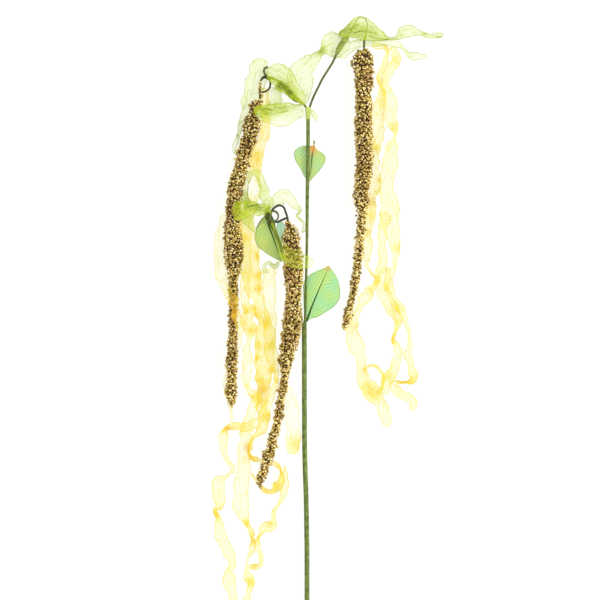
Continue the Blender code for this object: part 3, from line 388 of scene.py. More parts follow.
# Yellow streamers, in the same way
YELLOW_STREAMERS = {
    "streamer_left_outer": (0.25, 1, [
        (225.5, 214, 7, 15), (222, 228, 11, 8), (220.5, 242, 12, 5), (220.5, 256, 12, 5),
        (220.5, 268, 11, 10), (221.5, 278, 10, -15, 0.7), (224.5, 287, 8, -10, 5.4),
        (230.5, 296, 8.5, 0, 10.7), (235.5, 307, 9, 0, 10.6), (237, 317, 9, 0, 10.6),
        (239.5, 325, 7, 30, 7.5), (240.5, 333, 7, 30, 1.8), (239, 342, 7, 20), (235, 349, 8),
        (231, 362, 9), (228.5, 376, 9), (226.5, 387, 9), (229, 397, 6), (230.5, 407, 4, 30),
        (231.5, 415, 3, 40), (231.5, 421, 3, 40),
    ]),
    "streamer_left_main": (0.8, 0.9, [
        (264, 88, 7, 0, 1.7), (264.5, 100, 8, 0, 1.7), (265, 114, 9, 10, 1.2), (265.5, 128, 9, 15),
        (263.5, 139, 10), (258.5, 150, 12), (255, 162, 13), (254, 176, 13), (254, 190, 13),
        (251, 204, 12), (247.5, 218, 12), (247.5, 232, 13), (250.5, 246, 16), (251.5, 262, 18),
        (252, 278, 19), (254.5, 291, 16.5), (258, 299, 11.5), (259.5, 307, 11), (261.5, 314, 13),
        (264, 321, 14.5), (265.2, 329, 17.5), (265, 338, 19), (265, 348, 20), (265, 360, 19),
        (264, 372, 17, -10), (263, 384, 13, -15), (261.5, 396, 11), (262, 408, 11), (264, 420, 12),
        (261, 430, 9), (254.5, 436, 6, 40, 1.6), (249.5, 443, 5, 60, 1.7),
        (248.3, 451, 5, 60, 1.7), (252, 458, 6, 45, 1.5), (259, 460.5, 5), (267, 461, 5),
        (275, 463.5, 5, 20), (280, 470, 6, 50), (280.5, 479, 7, 50), (277, 486.5, 8, 20),
        (270.5, 491, 6, 40), (263.5, 489.5, 4), (258, 483.5, 4), (254, 477.5, 4, 30),
        (252, 472.5, 3, 30),
    ]),
    "streamer_left_long": (0.4, 1, [
        (268.5, 268, 10), (269.5, 280, 13), (269.5, 294, 13, 0, 0.9), (270, 308, 12, 0, 1.7),
        (270.5, 322, 12, 0, 1.7), (270, 336, 12, 0, 1.7), (270.5, 350, 12, 0, 1.7),
        (272.5, 362, 10, 10, 1.7), (275.3, 372, 8, 35, 1.7), (275.8, 381, 7, 45, 1.7),
        (273, 389, 8, 40, 1.7), (270, 397, 8, 30, 1.7), (267, 406, 9, 20, 1.7),
        (262.5, 416, 9, 10, 2.6), (255, 423, 9, 0, 2.7), (246, 426.5, 8, 0, 2.6),
        (236.5, 426.5, 9, 15, 0.8), (226, 428.5, 8, 40), (224, 437, 10, 10), (223.5, 447, 8, 10),
        (225.5, 455, 6, 40), (229.5, 463, 6, 40), (232, 470, 5, 45), (227.5, 475.5, 5, 50),
        (220.5, 480, 10, 20), (218.5, 487, 12), (219, 497, 12, 5), (218.5, 505, 9, 45),
        (214.8, 511, 6, 50), (218.5, 518, 7, 45), (219.5, 527, 11, 15), (221, 537, 12),
        (226, 547, 12), (231, 556, 12, 10), (232.5, 564, 8, 45), (229.5, 571, 9, 30),
        (230, 581, 13), (232, 592, 12, 5), (234.5, 602, 10, 20), (237, 612, 8, 35),
        (239, 621, 4, 20),
    ]),
    "streamer_left_centre": (0.34, 1.4, [
        (249, 206, 8, 0, 1.7), (245.5, 218, 8, 0, 1.7), (245, 232, 9, 0, 1.7),
        (246, 246, 9, 0, 1.7), (245.5, 262, 10, 0, 1.7), (245, 278, 10, 0, 1.7),
        (246, 288, 8.5, 0, 1.7), (244.6, 297, 7, 0, 1.7), (244.5, 304, 7.5, 0, 1.7),
        (250, 312, 13, 0, 1.7), (246.5, 319, 9.5, 0, 1.7), (251.2, 329, 13, 0, 1.7),
        (249.5, 339, 5, 20, 1.4), (247, 347, 5.5, 20, 0.9), (247.5, 357, 10), (247, 369, 10),
        (246, 379, 8, 10), (247, 387, 6, 20, 0.9), (251.5, 393.5, 6, 10, 1.4),
        (255.5, 396, 8, 0, 1.7), (253, 408, 9, 0, 1.6), (249.5, 420, 9, 0, 1.5),
        (246.5, 432, 12, 0, 0.6), (245.5, 446, 13), (244, 460, 13), (242.5, 474, 15),
        (241.5, 488, 16), (241, 500, 15), (241.5, 512, 13, 25), (245.5, 522, 9, 50),
        (250, 531, 7, 55), (252.5, 540, 7, 50), (252.5, 548, 6, 30), (248.5, 556, 5, 50),
        (246.5, 564, 5, 50), (247.5, 574, 9, 20), (250.5, 583, 9, 30), (247.5, 592, 8, 35),
        (245.5, 601, 8, 20), (246.5, 611, 8, 20), (249, 621, 5, 30),
    ]),
    "streamer_middle_tail": (0.45, 1.2, [
        (284.8, 466, 2.5), (285.6, 476, 5, 10), (285.3, 487, 7, 10), (282, 497, 7, 30),
        (277, 505, 6, 50), (273, 512.5, 5, 50), (273.2, 519, 6, 50), (270, 526, 12, 10),
        (263.8, 528, 9, 30), (259.5, 535, 6, 50, 0.9), (256.9, 541.5, 6, 40, 1.7),
        (257.6, 548, 6, 20, 1.7), (260.4, 556.5, 6, 40, 0.9), (261, 563.5, 6, 40),
        (256, 566.5, 6, 20), (250, 565.4, 4, 20),
    ]),
    "streamer_middle_side": (0.12, 1, [
        (289.4, 385.5, 4), (290.5, 396, 9), (292, 408, 12), (292.5, 420, 14), (293, 431, 14, 10),
        (293.5, 440, 14, 10), (293.5, 449, 13, 20), (294, 454.5, 9, 30),
    ]),
    "streamer_right_inner": (0.5, 1.2, [
        (372, 46, 5), (380, 46.5, 5.5), (386, 50, 5.5, 40), (386.2, 57, 5.5, 35), (384, 65, 6, 20),
        (381, 73, 6.5, 20), (380, 81, 6, 30), (381.5, 88, 6, 40), (381, 96, 9), (379, 105, 11),
        (378, 115, 12), (377.5, 125, 12), (378, 135, 11), (376.5, 144, 10, -10),
        (375, 152, 9, -20), (374.5, 162, 9, -20), (375.5, 172, 11, -20), (375.5, 182, 12, -25),
        (375, 191, 11, -25), (372.5, 199, 10, -20), (370.5, 207, 11), (370.5, 217, 11),
        (368, 227, 9, -10), (367, 236, 9), (367.2, 247, 9), (367.5, 256, 8, -10),
        (366.5, 264, 5, -30), (368, 270, 4, 50), (371.5, 274, 4, 50, 0.8),
        (376, 277, 3.5, 30, 1.7),
    ]),
    "streamer_right_outer": (0.42, 1.5, [
        (390, 47.5, 5), (393.5, 51, 7, 10), (395, 56, 8.5, 10), (393.8, 63, 10, 10),
        (390.5, 70, 10, 10), (387, 77.5, 7.5, 10), (385, 85, 5.5, 30, 1.5),
        (387.3, 93, 10, 0, 1.7), (390, 102, 12, 0, 1.7), (391, 112, 13, 0, 1.7),
        (391.5, 121, 12, 0, 1.7), (393.5, 127, 9, 10, 1.2), (394.8, 133, 6, 50),
        (394.3, 140, 6, 45), (391.5, 147, 13, 10), (390.5, 156, 15), (389.5, 166, 15),
        (387, 176, 14), (386.5, 187, 13), (388.5, 197, 16), (390, 206, 18, 0, 1.4),
        (390, 216, 18, 0, 1.7), (390, 226, 16, 0, 1.7), (393, 236, 13, 0, 1.7),
        (394.8, 246, 10, 10, 1.7), (395, 256, 7, 30, 1.7), (393.5, 266, 6, 30, 1.7),
        (390, 275, 8, 0, 1.7), (388.5, 285, 8, 0, 1.7), (390.5, 294, 8, 0, 1.7),
        (396, 303, 8, 0, 1.7), (401, 310, 8, 0, 1.7), (404.5, 317, 6, 10, 1.4),
        (407.5, 327, 5, 30), (409.5, 337, 5, 40), (409, 346, 7, 20), (408.5, 354, 9),
        (410, 362, 6, 30), (411.5, 369, 6, 20), (413.5, 376, 9), (411, 381, 7, 30),
        (404, 382, 5, 50), (397, 382.5, 5, 20, 1.4), (392.5, 385, 6, 0, 1.7),
        (394.5, 389, 9, 0, 1.7), (400, 394, 9, 0, 1.7), (406, 396, 9, 0, 0.8), (411, 399.5, 8, 10),
        (413.3, 405, 7, 20), (411.5, 411, 5, 10),
    ]),
    "streamer_right_middle": (0.4, 1, [
        (387, 267, 8), (384, 277, 12), (383, 288, 12), (386.5, 299, 12), (392, 308, 12),
        (397, 316, 9), (398, 323, 7, 30), (395.5, 331, 6, 45), (392.7, 340, 6, 50),
        (396, 347, 7, 20), (397.5, 355, 9), (396, 364, 9), (392, 371.5, 10), (388.5, 378, 11),
        (386.8, 386, 10), (385, 395, 6),
    ]),
    "streamer_right_low": (0.42, 1.2, [
        (386, 212, 9), (383.5, 224, 10), (381.7, 236, 8), (381.8, 248, 8), (383.5, 259, 9),
        (382, 267, 10, 10), (377.5, 275, 8, 40), (374.5, 283, 7, 30), (370, 292, 10, 10),
        (365, 299, 12), (359, 307, 8, 20), (356, 316, 8), (353.5, 326, 9), (352.5, 335, 12),
        (355, 343, 16), (359, 351.5, 15), (361.5, 361, 10), (361.5, 370, 9), (364, 380, 13),
        (369.5, 388.5, 17), (375, 395.5, 16), (379.5, 402, 12), (383, 410, 12), (386, 418, 11),
        (388, 427, 7),
    ]),
    "streamer_right_ring": (0.7, 0.5, [
        (363, 371, 5, 0, 2.3), (366.5, 367.3, 4, 0, 2.1), (372, 365.8, 4, 45, 1.5),
        (378, 368, 5, 50), (382, 375, 5, 50), (382.6, 383, 5, 45), (381, 389.5, 4, 10, 1.4),
        (377.5, 393.5, 5, 0, 1.7),
    ]),
}

# Places where the green cloth is bunched, doubled or thin, and a few where layers are painted
# shade
# or painted light: right, down, reach, layers added
GREEN_BUNCHES = [
    (343, 32, 6, 2.4), (353, 31, 8, 1.6), (364, 32, 7, 1.5), (374, 35, 7, 1), (384, 39, 5, 0.4),
    (410, 32, 12, -0.45), (430, 35, 12, -0.4), (348, 45, 5, -0.3), (362.5, 21.5, 4, -0.4),
    (322, 51, 5, 1.3), (331, 45, 5, 0.3), (334, 56, 4, 0.7), (424, 34, 3, 0.6), (404, 54, 4, 0.3),
    # From (280, 85) to (300, 104) the band rolls under: more layers there, and darker still as
    # painted shade under the roll
    (274, 81, 4, 1.2), (280, 85.5, 3.5, 5.5), (285, 88, 3.5, 6), (289.5, 93, 3.5, 6),
    (294, 98.5, 3, 2.6), (300, 103.5, 3, 1.4), (262, 113, 6, 1.8), (270, 111, 7, 1.6),
    (279, 109, 6, 1.4), (285, 108, 5, 1.4), (294, 106, 4, 1), (246, 206, 5, 2), (252, 207, 5, 2.2),
    (258, 207, 4, 2.4), (264, 209, 4, 1.7), (268, 211.5, 3, 3), (235, 213, 6, -0.3),
    (269, 218, 4, -0.6), (272, 224, 3, -0.5), (253, 218, 4, -0.4), (243, 215, 5, 0.6),
    (245, 196, 5, 0.6), (300, 216, 5, 0.6), (272, 226, 3, 0.8), (283, 86, 9, 0.5),
    # Thinner places at (234, 146), (246, 188) and (250, 177) are painted light that lightens the
    # cloth where the drops' shade falls
    (283, 256, 2.5, 1.7), (275, 234, 7, -0.18), (274, 264, 4, 0.6), (234, 146, 6, -0.25),
    (263, 190, 6, 0.5), (246, 188, 6, -0.3), (250, 177, 5, -0.35), (284, 121, 9, -0.25),
    (300, 85, 6, -0.2),
]

# The same for the yellow cloth
YELLOW_BUNCHES = [
    (256, 158, 8, 1.6), (260, 182, 4, 0.9), (251, 187, 9, -1.2), (266, 114, 6, 0.4),
    (267, 96, 7, -0.4), (243, 238, 4, 1.6), (259, 238, 3, 1.4), (259, 256, 5, 1.8),
    (259, 276, 4, 2.6), (259, 288, 4, 2.2), (251, 274, 7, 0.3), (270, 292, 10, -0.25),
    (233, 302, 6, 0.7), (235, 314, 4, 1), (245, 310, 5, 1.8), (244, 322, 4, 1.4),
    (254, 309, 4, 1.6), (258, 316, 4, 2), (265, 323, 5, 2), (252, 330, 5, 2.4), (257, 345, 4, 1.8),
    (256, 358, 3.5, 2.2), (256, 372, 3, 1.8), (271, 345, 4, 1), (272, 370, 4, 1.6),
    (260, 380, 4, 2.2), (263, 389, 5, 2.6), (250, 368, 4, -0.3), (244, 368, 2, 0.9),
    (246, 386, 2, 1.2), (255, 397, 4, 2.2), (261, 402, 5, 1.6), (277, 380, 3, 1.2),
    (268, 418, 5, 1.6), (240, 427, 8, 0.8), (227, 429, 4, 2), (249, 447, 4, 1.8),
    (253, 457, 5, 1.6), (280, 470, 5, 1.2), (276, 486, 5, 1.6), (265, 490, 4, 1.2),
    (246, 523, 4, 1.3), (252, 538, 6, 1.4), (217, 514, 5, 1.8), (253, 565, 4, 1.4),
    (250, 582, 5, 1.6), (271, 524, 3, 1.4), (296.5, 444, 7, 1.7), (386, 50, 4, 0.8),
    (394, 60, 5, 0.8), (384, 72, 6, 0.2), (380, 82, 4, 0.8), (383, 92, 4, 0.8), (382, 104, 5, 0.8),
    (375.5, 148, 4, 1.6), (394, 128, 4, 1.2), (371, 203, 5, 1.4), (371, 216, 6, 1.2),
    (368, 233, 4, 1.2), (374, 281, 4, 1.6), (371, 292, 4, 0.8), (366, 372, 5, 0.8),
    (368, 388, 7, 1.6), (375, 395, 6, 1.6), (355, 327, 5, 0.8), (404, 382, 7, 1.6),
    (388, 377, 5, 1.4), (397, 310, 6, 1), (393, 338, 5, 1.4), (397, 322, 4, 1.2),
    (414, 379, 5, 1.2), (379, 180, 3, 1.2), (378, 192, 3, 1), (396, 248, 4, 0.8), (387, 288, 4, 1),
]

# Places where the yellow cloth is toasted to amber: right, down, reach, share
AMBER_SPOTS = [
    (233, 296, 4, 0.9), (233.5, 304, 4, 1), (234, 312, 4, 1), (234, 320, 3.5, 0.8),
    (261, 391, 4, 0.5), (230, 430, 4, 0.4), (247, 449, 4, 0.4), (370, 203, 3, 0.3),
]


# Routes

def spot(right, down, height=0.0):
    """World place of a spot on the plan."""
    return Vector((right - PLAN_RIGHT, PLAN_DOWN - down, height)) * MM


def smooth(points, step):
    """Points of a Catmull-Rom curve through the given ones, about one step apart on the plan."""
    result = []
    last = len(points) - 1
    for index in range(last):
        start, end = points[index], points[index + 1]
        before, after = points[max(index - 1, 0)], points[min(index + 2, last)]
        parts = max(1, round(math.dist(start[:2], end[:2]) / step))
        for part in range(parts):
            t = part / parts
            result.append(tuple(
                0.5 * (2 * b + (c - a) * t + (2 * a - 5 * b + 4 * c - d) * t ** 2
                       + (3 * b - a - 3 * c + d) * t ** 3)
                for a, b, c, d in zip(before, start, end, after)))
    result.append(tuple(float(value) for value in points[-1]))
    return result


def level_side(ahead):
    """Level unit vector to the right of a direction of travel."""
    return Vector((ahead.y, -ahead.x, 0)).normalized()


def walk(path):
    """Places of a path's stations, directions of travel, and distances along it in millimetres."""
    places = [spot(*station[:3]) for station in path]
    around = zip(places[:1] + places[:-1], places[1:] + places[-1:])
    ways = [(after - before).normalized() for before, after in around]
    lengths = [0.0]
    for start, end in zip(places, places[1:]):
        lengths.append(lengths[-1] + (end - start).length / MM)
    return places, ways, lengths


def with_radius(route, radius):
    """Stations of (right, down, height) get the usual radius. The others keep their own."""
    return [(*station, radius)[:4] for station in route]


def laid(right, down, width, turn=0, rise=LAID_RISE):
    """Ribbon's station. Most are untwisted, and lie on the surface."""
    return right, down, width, turn, rise


# Shapes

def newly_added(name):
    """The primitive that was added last gets its name."""
    piece = bpy.context.active_object
    piece.name = piece.data.name = name
    return piece


def pick(piece):
    bpy.ops.object.select_all(action="DESELECT")
    bpy.context.view_layer.objects.active = piece
    piece.select_set(True)


def in_edit_mode(piece, step):
    """Runs an edit step on all of a piece."""
    pick(piece)
    bpy.ops.object.mode_set(mode="EDIT")
    bpy.ops.mesh.select_all(action="SELECT")
    step()
    bpy.ops.object.mode_set(mode="OBJECT")


def close_seams():
    """Corners that lie together become one, and the faces turn outwards."""
    bpy.ops.mesh.remove_doubles(threshold=MERGE_DISTANCE * MM)
    bpy.ops.mesh.normals_make_consistent(inside=False)


def flatten_poles():
    """A bead is a little shorter than it is wide, as a seed is."""
    bpy.ops.transform.resize(value=BEAD_SHAPE, center_override=(0, 0, 0))


def shade_smooth(piece, angle=CREASE_ANGLE):
    pick(piece)
    bpy.ops.object.shade_smooth_by_angle(angle=angle)


def set_marks(piece, **marks):
    """Gives each corner its number from each list, for the materials."""
    for name, values in marks.items():
        piece.data.attributes.new(name, "FLOAT", "POINT").data.foreach_set("value", values)


def new_grid(name, rows, spots):
    """A grid is added, and its corners are moved to rows of places, and on the UV map to spots."""
    bpy.ops.object.select_all(action="DESELECT")
    columns = len(rows[0]) - 1
    bpy.ops.mesh.primitive_grid_add(x_subdivisions=columns, y_subdivisions=len(rows) - 1, size=2)
    piece = newly_added(name)
    numbers = [number for row in rows for place in row for number in place]
    piece.data.vertices.foreach_set("co", numbers)
    piece.data.update()
    layer = piece.data.uv_layers.active.data
    for loop in piece.data.loops:
        across, along = spots[loop.vertex_index]
        layer[loop.index].uv = (across / UV_UNIT, along / UV_UNIT)
    return piece


def finish_piece(piece, material, slot, *nodes):
    """The material goes on, and the piece takes the place of its CAD nodes."""
    piece.data.materials.clear()
    piece.data.materials.append(material)
    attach(piece, "root")
    if nodes:
        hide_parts(*nodes)


def ring(centre, ahead, radius):
    """Places round a centre, with the first one repeated at the end."""
    side = level_side(ahead)
    up = side.cross(ahead)
    angles = [math.tau * index / TUBE_SIDES for index in range(TUBE_SIDES + 1)]
    return [centre + (side * math.cos(a) + up * math.sin(a)) * radius * MM for a in angles]


def make_tube(name, route, open_end=0.0):
    """Closed tube along a route of (right, down, height, radius).

    The first end is open to a depth of open_end, and shows the tube's wall. On the UV map, one
    turn round the tube is one unit.
    """
    path = smooth(route, TUBE_STEP)
    places, ways, lengths = walk(path)
    start = [[places[0] + ways[0] * open_end * MM] * (TUBE_SIDES + 1)]
    if open_end:
        inner = path[0][3] - TUBE_WALL
        start += [ring(centre, ways[0], inner) for centre in (start[0][0], places[0])]
    rings = [ring(place, ahead, station[3]) for place, ahead, station in zip(places, ways, path)]
    rows = start + rings + [[places[-1]] * (TUBE_SIDES + 1)]
    lengths = [0.0] * len(start) + lengths + lengths[-1:]
    turns = [UV_UNIT * side / TUBE_SIDES for side in range(TUBE_SIDES + 1)]
    piece = new_grid(name, rows, [(turn, along) for along in lengths for turn in turns])
    in_edit_mode(piece, close_seams)
    shade_smooth(piece)
    return piece


def wander(row, along):
    """Smooth value between about -1 and 1 that changes along a row of its own."""
    return 1.6 * noise.noise(Vector((along, row, 0.5)))


def near(place, base, spots):
    """Base, with the share that each spot of (right, down, reach, share) adds close to it."""
    here = (place.x / MM + PLAN_RIGHT, PLAN_DOWN - place.y / MM)
    return base + sum(share * math.exp(-(math.dist(here, (right, down)) / reach) ** 2)
                      for right, down, reach, share in spots)


def make_ribbon(name, stations, base, ruffle, seed, bunches):
    """Single sheet of cloth with waved edges. Gives its width, length and area as well."""
    path = [(right, down, rise + width / 2 * abs(math.sin(math.radians(turn))), turn, width)
            for right, down, width, turn, rise in smooth(stations, RIBBON_STEP)]
    places, ways, lengths = walk(path)
    rows, marks = [], []
    for place, ahead, along, (*_, turn, width) in zip(places, ways, lengths, path):
        level, upright = math.cos(math.radians(turn)), math.sin(math.radians(turn))
        side = level_side(ahead)
        across = side * level + Vector((0, 0, upright))
        away = Vector((0, 0, level)) - side * upright
        from_end = min(along, lengths[-1] - along) / ROUND_END
        rounding = math.sqrt(max(LEAST_ROUNDING, 1 - max(0.0, 1 - from_end) ** 2))
        swell = min(1.0, width / FULL_WAVE_WIDTH)
        slant = 1 + 0.5 * abs(upright)
        at = along / WAVE_LENGTH
        row = []
        for column in range(RIBBON_COLUMNS + 1):
            t = 2 * column / RIBBON_COLUMNS - 1
            edge = 40.0 * seed + (0 if t < 0 else 20)
            wave = wander(edge, at) + 0.6 * wander(edge + 5, 2.3 * at)
            lift = ruffle * swell * (0.15 + 0.85 * t * t) * max(0.0, 1 + 1.6 * wave) / 1.6
            frill = wander(edge + 9, 1.1 * at) + 0.5 * wander(edge + 13, along / 4.2)
            reach = (width / 2 + EDGE_SWING * swell * abs(t) * frill) * rounding
            corner = place + (across * t * reach + away * lift) * MM
            corner.z = max(corner.z, LOWEST * MM)
            row.append(corner)
            thickness = max(near(corner, base, bunches), THINNEST_LAYERS) * slant
            toasted = near(corner, 0.0, AMBER_SPOTS)
            marks.append(((t * reach, along), thickness, toasted, (1 - abs(t)) * reach))
        rows.append(row)
    spots, layers, amber, from_edge = zip(*marks)
    piece = new_grid(name, rows, spots)
    set_marks(piece, layers=layers, amber=amber, from_edge=from_edge)
    shade_smooth(piece, math.pi)
    widths = [station[4] for station in path]
    area = sum((widths[i] + widths[i + 1]) / 2 * (lengths[i + 1] - lengths[i])
               for i in range(len(path) - 1))
    return piece, max(widths), lengths[-1], area


def declare_sheet(width, length, area):
    """Works out the ribbon as cut, in metres: its widest width, its length, and the area of its
    own outline. Nothing more is done with them.
    """
    cut = max(width, SMALLEST_SHEET_WIDTH)
    area = max(area, SMALLEST_SHEET_SHARE * cut * length)
    cut * MM
    length * MM
    area * MM * MM


def make_leaf(name, stations, scorched):
    """Leaf with a groove at its midrib, fine side ribs and a waved edge.

    Its marks give each corner's distances from the midrib and the rim in millimetres, its share of
    the leaf's length, its side rib, and how scorched it is.
    """
    path = smooth(stations, LEAF_STEP)
    places, ways, lengths = walk(path)
    right, down, reach = scorched
    rows, marks = [], []
    for place, ahead, along, (*_, left_half, right_half) in zip(places, ways, lengths, path):
        side = level_side(ahead)
        row = []
        for column in range(LEAF_COLUMNS + 1):
            t = 2 * column / LEAF_COLUMNS - 1
            half = max(left_half if t < 0 else right_half, NARROWEST_LEAF)
            out = abs(t) * half
            drift = 1.5 * wander(1.4 * t, along / 7)
            strength = min(1.0, max(0.2, 0.6 + 0.6 * wander(2 * t + 30, along / 4)))
            rib = strength * math.sin(math.tau * (along - RIB_SLANT * out + drift) / RIB_SPACING)
            edge = RIM_WAVE * math.sin(along / 2.6 + 3 * t) * abs(t) ** 3
            groove = GROOVE_DEPTH * math.exp(-(out / GROOVE_WIDTH) ** 2)
            lift = -0.6 * t * t - groove + RIB_HEIGHT * rib * min(1.0, out / 2) + edge
            corner = place + side * t * half * MM + Vector((0, 0, lift * min(1.0, half / 6) * MM))
            row.append(corner)
            away = (corner.xy - spot(right, down).xy).length / MM
            marks.append(((t * half, along), out, half - out, 0.5 + 0.5 * rib,
                          math.exp(-(away / reach) ** 2), along / lengths[-1]))
        rows.append(row)
    spots, from_rib, from_rim, ribs, scorch, shares = zip(*marks)
    piece = new_grid(name, rows, spots)
    set_marks(piece, from_rib=from_rib, from_rim=from_rim, rib=ribs, scorch=scorch, along=shares)
    shell = piece.modifiers.new("thickness", "SOLIDIFY")
    shell.thickness = LEAF_CLOTH * MM
    shell.offset = 0.0
    bpy.context.view_layer.objects.active = piece
    bpy.ops.object.modifier_apply(modifier=shell.name)
    shade_smooth(piece)
    return piece


def bead_centres(stations, seed):
    """Centres of the beads round a drop, close together in lumps, with a few that stand out."""
    rng = random.Random(seed)
    path = smooth(stations, BEAD_ROW_SPACING)
    places, ways, _ = walk(path)
    centres = []
    for place, ahead, (*_, radius) in zip(places, ways, path):
        side = level_side(ahead)
        up = side.cross(ahead)
        reach = max(radius - BEAD_SIZE * 0.8, 0.6)
        around = max(2, round(math.tau * reach / BEAD_SPACING))
        start = rng.uniform(0, math.tau)
        for index in range(around):
            angle = start + math.tau * (index + rng.uniform(-0.42, 0.42)) / around
            outward = side * math.cos(angle) + up * math.sin(angle)
            centre = place + outward * reach * MM + ahead * rng.uniform(-1.2, 1.2) * MM
            lump = noise.noise(centre / (LUMP_SIZE * MM)) * LUMP_RISE * min(1.0, radius / 7)
            stray = STRAY_RISE * rng.random() if rng.random() < STRAY_SHARE else 0.0
            centre += outward * (lump + stray + rng.uniform(-0.9, 0.5)) * MM
            centre.z = max(centre.z, BEAD_SIZE * MM)
            centres.append(centre)
    return centres


def make_beads(name, centres, seed):
    """One bead is modelled and copied to each centre, at its own size and turn."""
    rng = random.Random(seed)
    bpy.ops.object.select_all(action="DESELECT")
    bpy.ops.mesh.primitive_uv_sphere_add(
        segments=BEAD_SIDES, ring_count=BEAD_RINGS, radius=BEAD_SIZE * MM)
    piece = newly_added(name)
    in_edit_mode(piece, flatten_poles)
    corners = [vertex.co.copy() for vertex in piece.data.vertices]
    faces = [tuple(face.vertices) for face in piece.data.polygons]
    all_corners, all_faces, tones = [], [], []
    for centre in centres:
        size = rng.uniform(*BEAD_SIZES)
        turn = Vector([rng.uniform(-1, 1) for _ in range(3)]).to_track_quat("Z", "Y")
        first = len(all_corners)
        all_corners += [centre + (turn @ corner) * size for corner in corners]
        all_faces += [tuple(first + index for index in face) for face in faces]
        tones += [rng.random()] * len(corners)
    piece.data.clear_geometry()
    piece.data.from_pydata(all_corners, [], all_faces)
    set_marks(piece, tone=tones)
    shade_smooth(piece, math.pi)
    return piece


# Nodes

def sum_of(operation):
    """Method that works out a sum of a value and another one."""
    return lambda self, other: self.maths(operation, self, other)


class Value:
    """What a node puts out. Sums with values are worked out by math nodes in the same tree."""

    def __init__(self, socket):
        self.socket = socket
        self.tree = socket.id_data

    def maths(self, operation, *numbers):
        node = self.tree.nodes.new("ShaderNodeMath")
        node.operation = operation
        for socket, number in zip(node.inputs, numbers or [self]):
            put(socket, number)
        return Value(node.outputs["Value"])

    __add__ = sum_of("ADD")
    __sub__ = sum_of("SUBTRACT")
    __mul__ = sum_of("MULTIPLY")
    __truediv__ = sum_of("DIVIDE")
    __pow__ = sum_of("POWER")
    __lt__ = sum_of("LESS_THAN")
    __gt__ = sum_of("GREATER_THAN")
    at_least = sum_of("MAXIMUM")
    at_most = sum_of("MINIMUM")

    def __rsub__(self, other):
        return self.maths("SUBTRACT", other, self)

    def __abs__(self):
        return self.maths("ABSOLUTE")

    def towards(self, colour, share):
        """This colour, mixed with a share of another."""
        node = self.tree.nodes.new("ShaderNodeMix")
        node.data_type = "RGBA"
        fill(node, Factor=share, A=self, B=colour)
        return Value(node.outputs["Result"])

    def ramp(self, *stops):
        """The colour for this number on a ramp with stops of (number, colour)."""
        node = self.tree.nodes.new("ShaderNodeValToRGB")
        fill(node, Fac=self)
        while len(node.color_ramp.elements) < len(stops):
            node.color_ramp.elements.new(0.5)
        for element, (place, colour) in zip(node.color_ramp.elements, stops):
            element.position = place
            element.color = colour
        return Value(node.outputs["Color"])


def put(socket, value):
    """Links a value to a socket, or sets the socket's own."""
    if isinstance(value, Value):
        value.tree.links.new(value.socket, socket)
    else:
        socket.default_value = value


def fill(node, **values):
    """Puts values in a node's inputs, by name."""
    for label, value in values.items():
        put(node.inputs[label.replace("_", " ")], value)


def add_node(tree, kind, output, **values):
    node = tree.nodes.new(kind)
    fill(node, **values)
    return Value(node.outputs[output])


def attribute(tree, name):
    node = tree.nodes.new("ShaderNodeAttribute")
    node.attribute_name = name
    return Value(node.outputs["Fac"])


def uv_parts(tree):
    """The UV map's two directions."""
    node = tree.nodes.new("ShaderNodeSeparateXYZ")
    fill(node, Vector=add_node(tree, "ShaderNodeUVMap", "UV"))
    return Value(node.outputs["X"]), Value(node.outputs["Y"])


def vector(x, y, z=0.0):
    return add_node(x.tree, "ShaderNodeCombineXYZ", "Vector", X=x, Y=y, Z=z)


def object_place(tree):
    return add_node(tree, "ShaderNodeTexCoord", "Object")


def noise_at(place, scale, detail=2.0):
    return add_node(place.tree, "ShaderNodeTexNoise", "Fac",
                    Vector=place, Scale=scale, Detail=detail)


def noise_over(tree, scale, detail=2.0):
    """Noise that changes over the object."""
    return noise_at(object_place(tree), scale, detail)


def bump(shader, height, distance, strength):
    """Raises the surface by a height, as bumps of a distance in millimetres."""
    fill(shader, Normal=add_node(height.tree, "ShaderNodeBump", "Normal", Height=height,
                                 Distance=distance * MM, Strength=strength))


def new_group(name, inputs, outputs):
    """Node group, its inputs as values, and the node that takes what it puts out."""
    group = bpy.data.node_groups.new(name, "ShaderNodeTree")
    for in_out, labels in (("INPUT", inputs), ("OUTPUT", outputs)):
        for label in labels:
            group.interface.new_socket(label, in_out=in_out, socket_type="NodeSocketFloat")
    given = group.nodes.new("NodeGroupInput")
    values = [Value(given.outputs[label]) for label in inputs]
    return group, values, group.nodes.new("NodeGroupOutput")


def use_group(tree, group, **values):
    """What a node group puts out, by name."""
    node = tree.nodes.new("ShaderNodeGroup")
    node.node_tree = group
    fill(node, **values)
    return {socket.name: Value(socket) for socket in node.outputs}


# Materials

def linear(colour):
    """Linear colour of screen values from 0 to 255."""
    shares = (value / 255 for value in colour)
    return (*(((s + 0.055) / 1.055) ** 2.4 if s > 0.04045 else s / 12.92 for s in shares), 1.0)


def new_material(name, **values):
    """Material, its tree and its shader, with the shader's inputs by name."""
    material = bpy.data.materials.new(name)
    material.use_nodes = True
    shader = material.node_tree.nodes["Principled BSDF"]
    fill(shader, **values)
    return material, material.node_tree, shader


def paint_glow(shader, colour, painted_glow):
    """Splits a colour between light that falls on the cloth and a painted glow, which stands in
    for light that comes through the cloth and lifts the shade on it.
    """
    fill(shader, Base_Color=colour.towards((0.0, 0.0, 0.0, 1.0), painted_glow), Emission_Color=colour,
         Emission_Strength=painted_glow)


def fold_lines(across, along, tightness, drift, sharpness):
    """Thin lines that run along the cloth and wander."""
    field = noise_at(vector(across * tightness, along * drift, tightness), 1.0, 1.0)
    return (1.0 - abs(field - 0.5) * sharpness).at_least(0.0)


